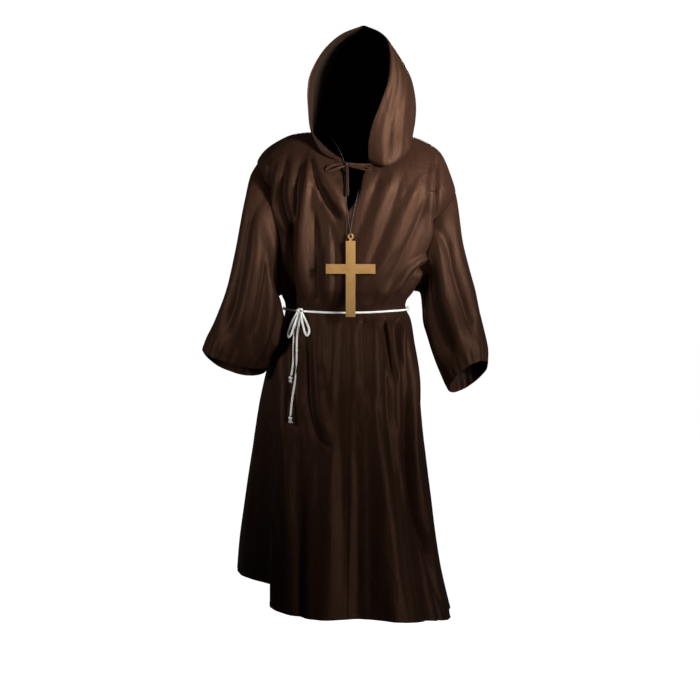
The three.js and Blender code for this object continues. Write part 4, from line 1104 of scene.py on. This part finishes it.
def caps(points, faces, sides):
    """Adds end caps to a tube as fans round a middle point, each face's last corner repeated."""
    first = points[:sides].mean(axis=0)
    last = points[-sides:].mean(axis=0)
    n = len(points)
    extra = []
    for k in range(sides):
        a, b = k, (k + 1) % sides
        extra.append([n, b, a, a])
        extra.append([n + 1, n - sides + a, n - sides + b, n - sides + b])
    return np.vstack([points, first, last]), np.vstack([faces, np.array(extra)])


def tri_mesh(name, points, faces):
    """A smooth mesh from faces with four corners, or with three and the last one repeated."""
    mesh = bpy.data.meshes.new(name)
    lists = [list(dict.fromkeys(f)) for f in faces.tolist()]
    mesh.from_pydata((points * MM).tolist(), [], lists)
    mesh.polygons.foreach_set("use_smooth", [True] * len(lists))
    mesh.update()
    return link(name, mesh)


WAIST_ROUTE = [
    (-147.6, -87, -486.5), (-155.8, -79.6, -486), (-171, -60, -484), (-180.5, -43.3, -483),
    (-187.6, -22, -482), (-190.5, 0, -481), (-191.5, 22, -481), (-187, 45, -480), (-175, 65, -480),
    (-158.4, 82, -480), (-120.7, 103.5, -480), (-83.8, 114.5, -480), (-49.9, 119.5, -480), (-18, 121, -480),
    (13.9, 119.5, -480), (47.6, 114.2, -480), (83.7, 102.5, -480), (119.3, 80, -479),
    (136, 62, -479), (146.5, 43.8, -479), (152, 22, -479), (153.5, 0, -480), (152, -22, -481.5),
    (148, -44.3, -483.6), (138, -64, -485), (122.7, -82, -486), (87.8, -106.5, -488), (51.2, -120.5, -490),
    (15.9, -127, -491), (-18, -129, -491.5), (-51.9, -127, -491.2), (-87, -120.2, -490),
    (-118, -107.5, -488.5), (-132.5, -109.2, -487.5),
]
LEFT_LOOP_ROUTE = [
    (-148, -101, -489), (-155, -101, -500), (-164, -98, -518), (-172, -96, -537), (-175, -97, -550),
    (-172, -102, -559), (-166.5, -107, -552), (-161, -108.5, -536), (-155, -108, -518),
    (-149, -106, -502), (-144, -103, -489),
]
RIGHT_LOOP_ROUTE = [
    (-138, -106, -489), (-132, -111, -500), (-124, -119, -516), (-117, -128, -534), (-117, -134, -546),
    (-122, -135.5, -553), (-128, -132, -545), (-132, -125, -530), (-136, -117, -514),
    (-138, -113, -501), (-140, -107, -489),
]
SHORT_TAIL_ROUTE = [
    (-144.9, -97.2, -495.4), (-146.5, -97.5, -506), (-151, -99, -518), (-154.5, -101.5, -532),
    (-157, -108.5, -548), (-158, -115.5, -564), (-159, -122.5, -586), (-159, -130.5, -609),
    (-160, -137, -632), (-163, -142, -652), (-165, -144, -661.5),
]
LONG_TAIL_ROUTE = [
    (-139.9, -100.8, -496), (-142, -102.8, -508), (-146, -108, -530), (-149, -116, -552),
    (-150, -125, -575), (-150, -133, -600), (-150, -140, -625), (-151, -146, -650),
    (-153, -150.5, -672), (-157, -154.5, -696), (-161, -159, -720), (-164, -162.5, -745),
    (-166, -166, -769),
]
PENDANT_CORD_ROUTE = [
    (21.5, 94.5, 40), (-10, 89, 38), (-40, 71, 32), (-58, 40, 22), (-60, 5, 6), (-50, -35, -18),
    (-38, -70, -40), (-30, -92, -58), (-24, -108, -74), (-21.5, -117, -86), (-22, -122.5, -97),
    (-21.5, -130, -112), (-20, -140, -133), (-19.4, -147.8, -152), (-16.5, -152, -175),
    (-14.4, -155.7, -200), (-12, -158.5, -222), (-9, -160, -246), (-6, -162.2, -264),
    (-4.4, -164.2, -275), (-4, -164.45, -280), (-4, -163.6, -282.1), (-4, -161.5, -282.95),
    (-4, -159.4, -282.1), (-4, -158.55, -280), (-3.6, -158.2, -272), (-1, -157.4, -252), (3, -156.6, -228),
    (9, -156.2, -200), (13, -153.5, -182), (17, -146, -166), (24, -134, -144), (34, -116, -112),
    (46, -88, -70), (60, -45, -25), (72, 5, 2), (70, 45, 20), (52, 76, 34), (30.5, 94.3, 40),
]
ROPE_RADIUS = 3.0
CORD_RADIUS = 0.75


def run_length(line):
    """Length in metres of a line in millimetres."""
    return float(np.linalg.norm(np.diff(line, axis=0), axis=1).sum()) * MM


def rope_piece(name, route, node_name):
    points, faces, line = rope_points(route, ROPE_RADIUS)
    return dress(tri_mesh(name, points, faces), ROPE, "rope", node_name), line


def wrap(centre, axis, radius_a, radius_b, turns, advance, start=0.0):
    """A route that winds round an axis and moves along it by the advance."""
    axis = np.array(axis, float)
    axis /= np.linalg.norm(axis)
    up = np.array([0, 0, 1.0])
    side = np.cross(up, axis)
    side /= np.linalg.norm(side)
    up = np.cross(axis, side)
    count = int(turns * 14)
    out = []
    for i in range(count + 1):
        a = start + 2 * np.pi * turns * i / count
        shift = (i / count - 0.5) * advance
        out.append(
            np.array(centre) + axis * shift + side * radius_a * math.cos(a)
            + up * radius_b * math.sin(a)
        )
    return out


# Bow: two loops and a knot that is wound over their crossing
KNOT_CENTRE = (-142.4, -100.5, -487.5)
KNOT_HEADING = math.radians(-51.5)
KNOT_AXIS = (math.cos(KNOT_HEADING), math.sin(KNOT_HEADING), 0)
BOW_RADIUS, BOW_KNOT_RADIUS = ROPE_RADIUS * 0.97, ROPE_RADIUS * 0.92
knot_route = wrap(KNOT_CENTRE, KNOT_AXIS, 5.2, 5.8, 2.4, 13)
bow_parts = [rope_points(route, BOW_RADIUS)[:2] for route in (LEFT_LOOP_ROUTE, RIGHT_LOOP_ROUTE)]
bow_parts.append(rope_points(knot_route, BOW_KNOT_RADIUS, step=1.4)[:2])
bow = dress(tri_mesh("bow", *merged(bow_parts)), ROPE, "rope", "rope_bow")

YARNS = 45
YARN_RADIUS = 0.42


def frayed_end(name, centre, seed, node_name):
    """An overhand knot at the rope's end with loose yarns under it."""
    x, y, z = centre
    knot = wrap((x, y, z + 1), (0.5, -0.2, 1), 3.4, 3.0, 1.8, 4.5)
    parts = [rope_points(knot, 2.4, step=1.2, pitch=10)[:2]]
    for i in range(YARNS):
        # three uneven tufts, each with its own lean and length
        tuft = i % 3
        lean = seed + (0.2, 2.3, 4.3)[tuft]
        a = 2.39996 * i + seed
        root = 1.7 * math.sqrt((i + 0.5) / YARNS)
        length = (9.5, 6.5, 8.0)[tuft] + 1.6 * math.sin(1.7 * i + seed)
        flare = 4.4 + 0.9 * math.sin(2.9 * i)
        route = []
        for k in range(5):
            t = k / 4
            out = root * (1 + 0.5 * t)
            route.append((x + math.cos(a) * out + math.cos(lean) * flare * t**1.3,
                          y + 0.6 * math.sin(a) * out - 1.2 * t + 0.5 * math.sin(lean) * flare * t**1.3,
                          z - 2.5 - length * t))
        line = catmull(route, 1)
        across, through = frames_along(line)
        ring = []
        for m, c, s in zip(line, across, through):
            for k in range(3):
                b = 2 * math.pi * k / 3
                ring.append(m + c * YARN_RADIUS * math.cos(b) + s * YARN_RADIUS * math.sin(b))
        parts.append(caps(np.array(ring), tube_faces(len(line), 3), 3))
    return dress(tri_mesh(name, *merged(parts)), ROPE, "rope", node_name)


short_end = frayed_end("short_end", (-166, -146, -667.8), 0.4, "rope_end_short")
long_end = frayed_end("long_end", (-166.4, -167.5, -775.3), 1.7, "rope_end_long")

waist, waist_line = rope_piece("waist_rope", WAIST_ROUTE, "rope_waist")
short_tail, short_line = rope_piece("short_tail", SHORT_TAIL_ROUTE, "rope_tail_short")
long_tail, long_line = rope_piece("long_tail", LONG_TAIL_ROUTE, "rope_tail_long")

cord_points, cord_faces, cord_line = rope_points(
    PENDANT_CORD_ROUTE, CORD_RADIUS, sides=9, step=1.6, pitch=5.0,
)
pendant_cord = dress(tri_mesh("neck_cord", cord_points, cord_faces), CORD, "cord", "pendant_cord")
nape_route = wrap((26, 94.8, 40), (1, 0, 0), 1.3, 1.3, 3, 5)
nape_parts = rope_points(nape_route, 0.8, sides=9, step=0.8, pitch=5)[:2]
nape_knot = dress(tri_mesh("nape_knot", *nape_parts), CORD, "cord", "pendant_cord_knot")


for name, sheet in SHEETS.items():
    piece, reverse = shell(name + "_cloth", sheet)
    dress(piece, ROBE, "robe_cloth", name)
    piece.data.materials.append(ROBE_BACK)
    piece.data.polygons.foreach_set("material_index", reverse)


# Sewing
def stitches(line, normal, length=2.6, gap=1.5, width=0.32):
    """Short raised stitches along a line on the cloth."""
    run = np.concatenate([[0], np.cumsum(np.linalg.norm(np.diff(line, axis=0), axis=1))])
    starts = np.arange(0, run[-1] - length, length + gap)

    def at(s, values):
        return np.stack([np.interp(s, run, values[:, k]) for k in range(3)], axis=1)

    a, b = at(starts, line), at(starts + length, line)
    n = at(starts + length / 2, normal)
    n /= np.linalg.norm(n, axis=1, keepdims=True)
    along = b - a
    side = np.cross(n, along)
    side /= np.linalg.norm(side, axis=1, keepdims=True)
    middle = (a + b) / 2
    corners = np.stack([
        a - n * 0.15, b - n * 0.15,
        middle + side * width, middle + n * width * 1.1, middle - side * width, middle - n * width,
    ], axis=1)
    faces = np.array([
        [0, 2, 3], [0, 3, 4], [0, 4, 5], [0, 5, 2], [1, 3, 2], [1, 4, 3], [1, 5, 4], [1, 2, 5],
    ])
    count = len(corners)
    all_faces = (faces[None] + (np.arange(count) * 6)[:, None, None]).reshape(-1, 3)
    return corners.reshape(-1, 3), all_faces


def row_at(sheet, axis, from_end, distance):
    """The line on the outer face that stays a distance from one edge, and its normals."""
    d = edge_distance(sheet["grid"], axis, from_end)
    outer, normal = sheet["outer"], sheet["normal"]
    if axis == 1:
        d, outer, normal = d.T, outer.transpose(1, 0, 2), normal.transpose(1, 0, 2)
    points, normals = [], []
    for j in range(d.shape[1]):
        order = np.argsort(d[:, j])
        points.append([np.interp(distance, d[order, j], outer[order, j, k]) for k in range(3)])
        normals.append([np.interp(distance, d[order, j], normal[order, j, k]) for k in range(3)])
    return np.array(points), np.array(normals)


sewing = []
for name in ("front_right", "front_left", "back", "sleeve_right", "sleeve_left"):
    line, normal = row_at(SHEETS[name], 0, True, HEM_WIDTH - HEM_STEP)
    if name.startswith("sleeve"):
        line, normal = np.vstack([line, line[:1]]), np.vstack([normal, normal[:1]])
    sewing.append(stitches(line, normal))
for name in ("hood_right", "hood_left"):
    sewing.append(stitches(*row_at(SHEETS[name], 1, False, HEM_WIDTH - HEM_STEP)))
dress(tri_mesh("hem_stitches", *merged(sewing)), SEWING, "robe_cloth")


# Ties and carriers
def ribbon(route, width, thickness, steps):
    """A flat strip of cloth with rounded edges and a slight hollow along it."""
    curve = catmull(route, 14)
    line, at = even(curve, run_length(curve) / MM / steps)
    tangent = np.gradient(line, axis=0)
    tangent /= np.linalg.norm(tangent, axis=1, keepdims=True)
    across = np.cross(tangent, np.array([0, 1.0, 0]))
    across /= np.linalg.norm(across, axis=1, keepdims=True)
    through = np.cross(tangent, across)
    sides = 12
    angle = np.arange(sides) / sides * 2 * np.pi
    points = []
    for i, middle in enumerate(line):
        u = np.cos(angle)
        v = np.sin(angle) * (1 - 0.35 * u**2)
        pinch = 1 - 0.25 * math.exp(-at[i] / 8) - 0.25 * math.exp(-(at[-1] - at[i]) / 8)
        wave = 0.8 * math.sin(at[i] * 0.21)
        points.append(middle + across[i] * (u * width / 2 * pinch)[:, None]
                      + through[i] * (v * thickness / 2 + 0.5 * u**2 + wave * 0.4)[:, None])
    return caps(np.vstack(points), tube_faces(len(line), sides), sides)


# The neck tie: two loops, the band that holds it to the hood's foot, and its hanging end.
tie_parts = [
    ribbon([(-18, -129, -89), (-40, -131, -91), (-60, -134, -96), (-70, -137, -105), (-62, -139, -110),
            (-42, -137, -103), (-20, -132, -94)], 6.4, 1.7, 44),
    ribbon([(-12, -130, -94), (14, -132, -100), (38, -133, -106), (48, -133, -104), (44, -131.5, -99),
            (20, -130, -96), (-10, -127.5, -92)], 5.2, 1.7, 44),
    ribbon([(-14, -126.5, -88), (12, -124, -90), (38, -121.5, -91), (56, -120.5, -89)], 6.4, 1.7, 24),
    ribbon([(-14, -130.5, -95), (-13, -138, -112), (-12.5, -148, -135), (-12, -155, -158),
            (-12, -158.5, -178)], 8.4, 1.6, 30),
]
tie_knot_route = wrap((-15, -129.5, -91), (1, 0.05, -0.1), 3.6, 5.4, 1.7, 7, 0.6)
tie_parts.append(rope_points(tie_knot_route, 2.5, sides=12, step=1.2, pitch=60, strands=2)[:2])
dress(tri_mesh("neck_ribbon", *merged(tie_parts)), TIE_CLOTH, "robe_cloth", "neck_tie")


CARRIER_REACH, CARRIER_RADIUS = 6, 0.6


def carrier(name, x, y, z, heading, node_name):
    """A thread loop that stands out from the side seam and holds the rope."""
    a = math.radians(heading)
    route = []
    for i in range(9):
        angle = math.pi * (i / 8 - 0.5)
        out = 1.0 + CARRIER_REACH * max(math.cos(angle), 0) ** 0.6
        rise = CARRIER_REACH * math.sin(angle)
        route.append((x + out * math.cos(a), y + out * math.sin(a), z + rise))
    parts = rope_points(route, CARRIER_RADIUS, sides=9, step=0.9, pitch=4.0, strands=2)[:2]
    return dress(tri_mesh(name, *parts), SEWING, "robe_cloth", node_name)


carrier("carrier_right", -187.2, 14, -481, 180, "belt_carrier_right")
carrier("carrier_left", 152.6, -12, -481, -6, "belt_carrier_left")

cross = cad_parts["cross"]
cross.data.materials.clear()
cross.data.materials.append(CROSS)

# Stage and light
FLOOR_Z = -1.525
FLOOR_RADIUS, CURVE_RADIUS, BACKDROP_HEIGHT = 5.0, 1.6, 7.5


def stage_material():
    """A plain pale floor that stays even, whatever the lamps do."""
    return principled(
        "stage", Roughness=0.9, Base_Color=(0.35, 0.35, 0.35, 1),
        Emission_Color=(1, 1, 1, 1), Emission_Strength=1.0,
    )[0]


def bowl():
    """A round floor that curves up into a backdrop on every side."""
    profile = [(0.4, 0), (FLOOR_RADIUS, 0)]
    for i in range(1, 13):
        a = math.pi / 2 * i / 12
        profile.append((FLOOR_RADIUS + CURVE_RADIUS * math.sin(a), CURVE_RADIUS * (1 - math.cos(a))))
    profile.append((FLOOR_RADIUS + CURVE_RADIUS, BACKDROP_HEIGHT))
    sides = 64
    points, faces = [(0, 0, FLOOR_Z / MM)], []
    for r, z in profile:
        for k in range(sides):
            a = 2 * math.pi * k / sides
            points.append((r * math.cos(a) / MM, r * math.sin(a) / MM, (FLOOR_Z + z) / MM))
    for i in range(len(profile) - 1):
        for k in range(sides):
            low, high = 1 + i * sides, 1 + (i + 1) * sides
            faces.append([low + k, high + k, high + (k + 1) % sides, low + (k + 1) % sides])
    middle = [[0, 1 + k, 1 + (k + 1) % sides, 1 + (k + 1) % sides] for k in range(sides)]
    return tri_mesh("backdrop", np.array(points), np.array(middle + faces))


backdrop = bowl()
backdrop.data.materials.append(stage_material())
backdrop.visible_diffuse = False
backdrop.visible_glossy = False


def hang_light(data, name, place, target):
    lamp = bpy.data.objects.new(name, data)
    lamp.location = place
    lamp.rotation_euler = (Vector(target) - Vector(place)).to_track_quat("-Z", "Y").to_euler()
    bpy.context.collection.objects.link(lamp)


def area_light(name, place, target, size, power, spread_degrees):
    data = bpy.data.lights.new(name, "AREA")
    data.shape = "DISK"
    data.size = size
    data.energy = power
    data.spread = math.radians(spread_degrees)
    hang_light(data, name, place, target)


def spot_light(name, place, target, radius, power, cone_degrees, blend):
    data = bpy.data.lights.new(name, "SPOT")
    data.shadow_soft_size = radius
    data.energy = power
    data.spot_size = math.radians(cone_degrees)
    data.spot_blend = blend
    hang_light(data, name, place, target)


spot_light("key", (1.5, -1.2, 0.14), (0.05, -0.08, 0.03), 0.2, 440, 30, 0.5)
spot_light("sleeve", (1.9, -1.6, -0.2), (0.34, -0.06, -0.5), 0.12, 148, 17, 0.6)
area_light("left", (-1.9, -1.5, 0.2), (-0.3, 0, -0.35), 0.45, 1.5, 36)
area_light("low", (2.2, -2.4, -0.7), (0.1, 0, -1.0), 0.7, 5.3, 66)
area_light("behind", (0.2, 2.8, 0.6), (0, 0, -0.4), 1.2, 13, 80)

world = bpy.data.worlds.new("studio")
bpy.context.scene.world = world
world.use_nodes = True
background = world.node_tree.nodes["Background"]
background.inputs["Color"].default_value = (1, 1, 1, 1)
background.inputs["Strength"].default_value = 0.03
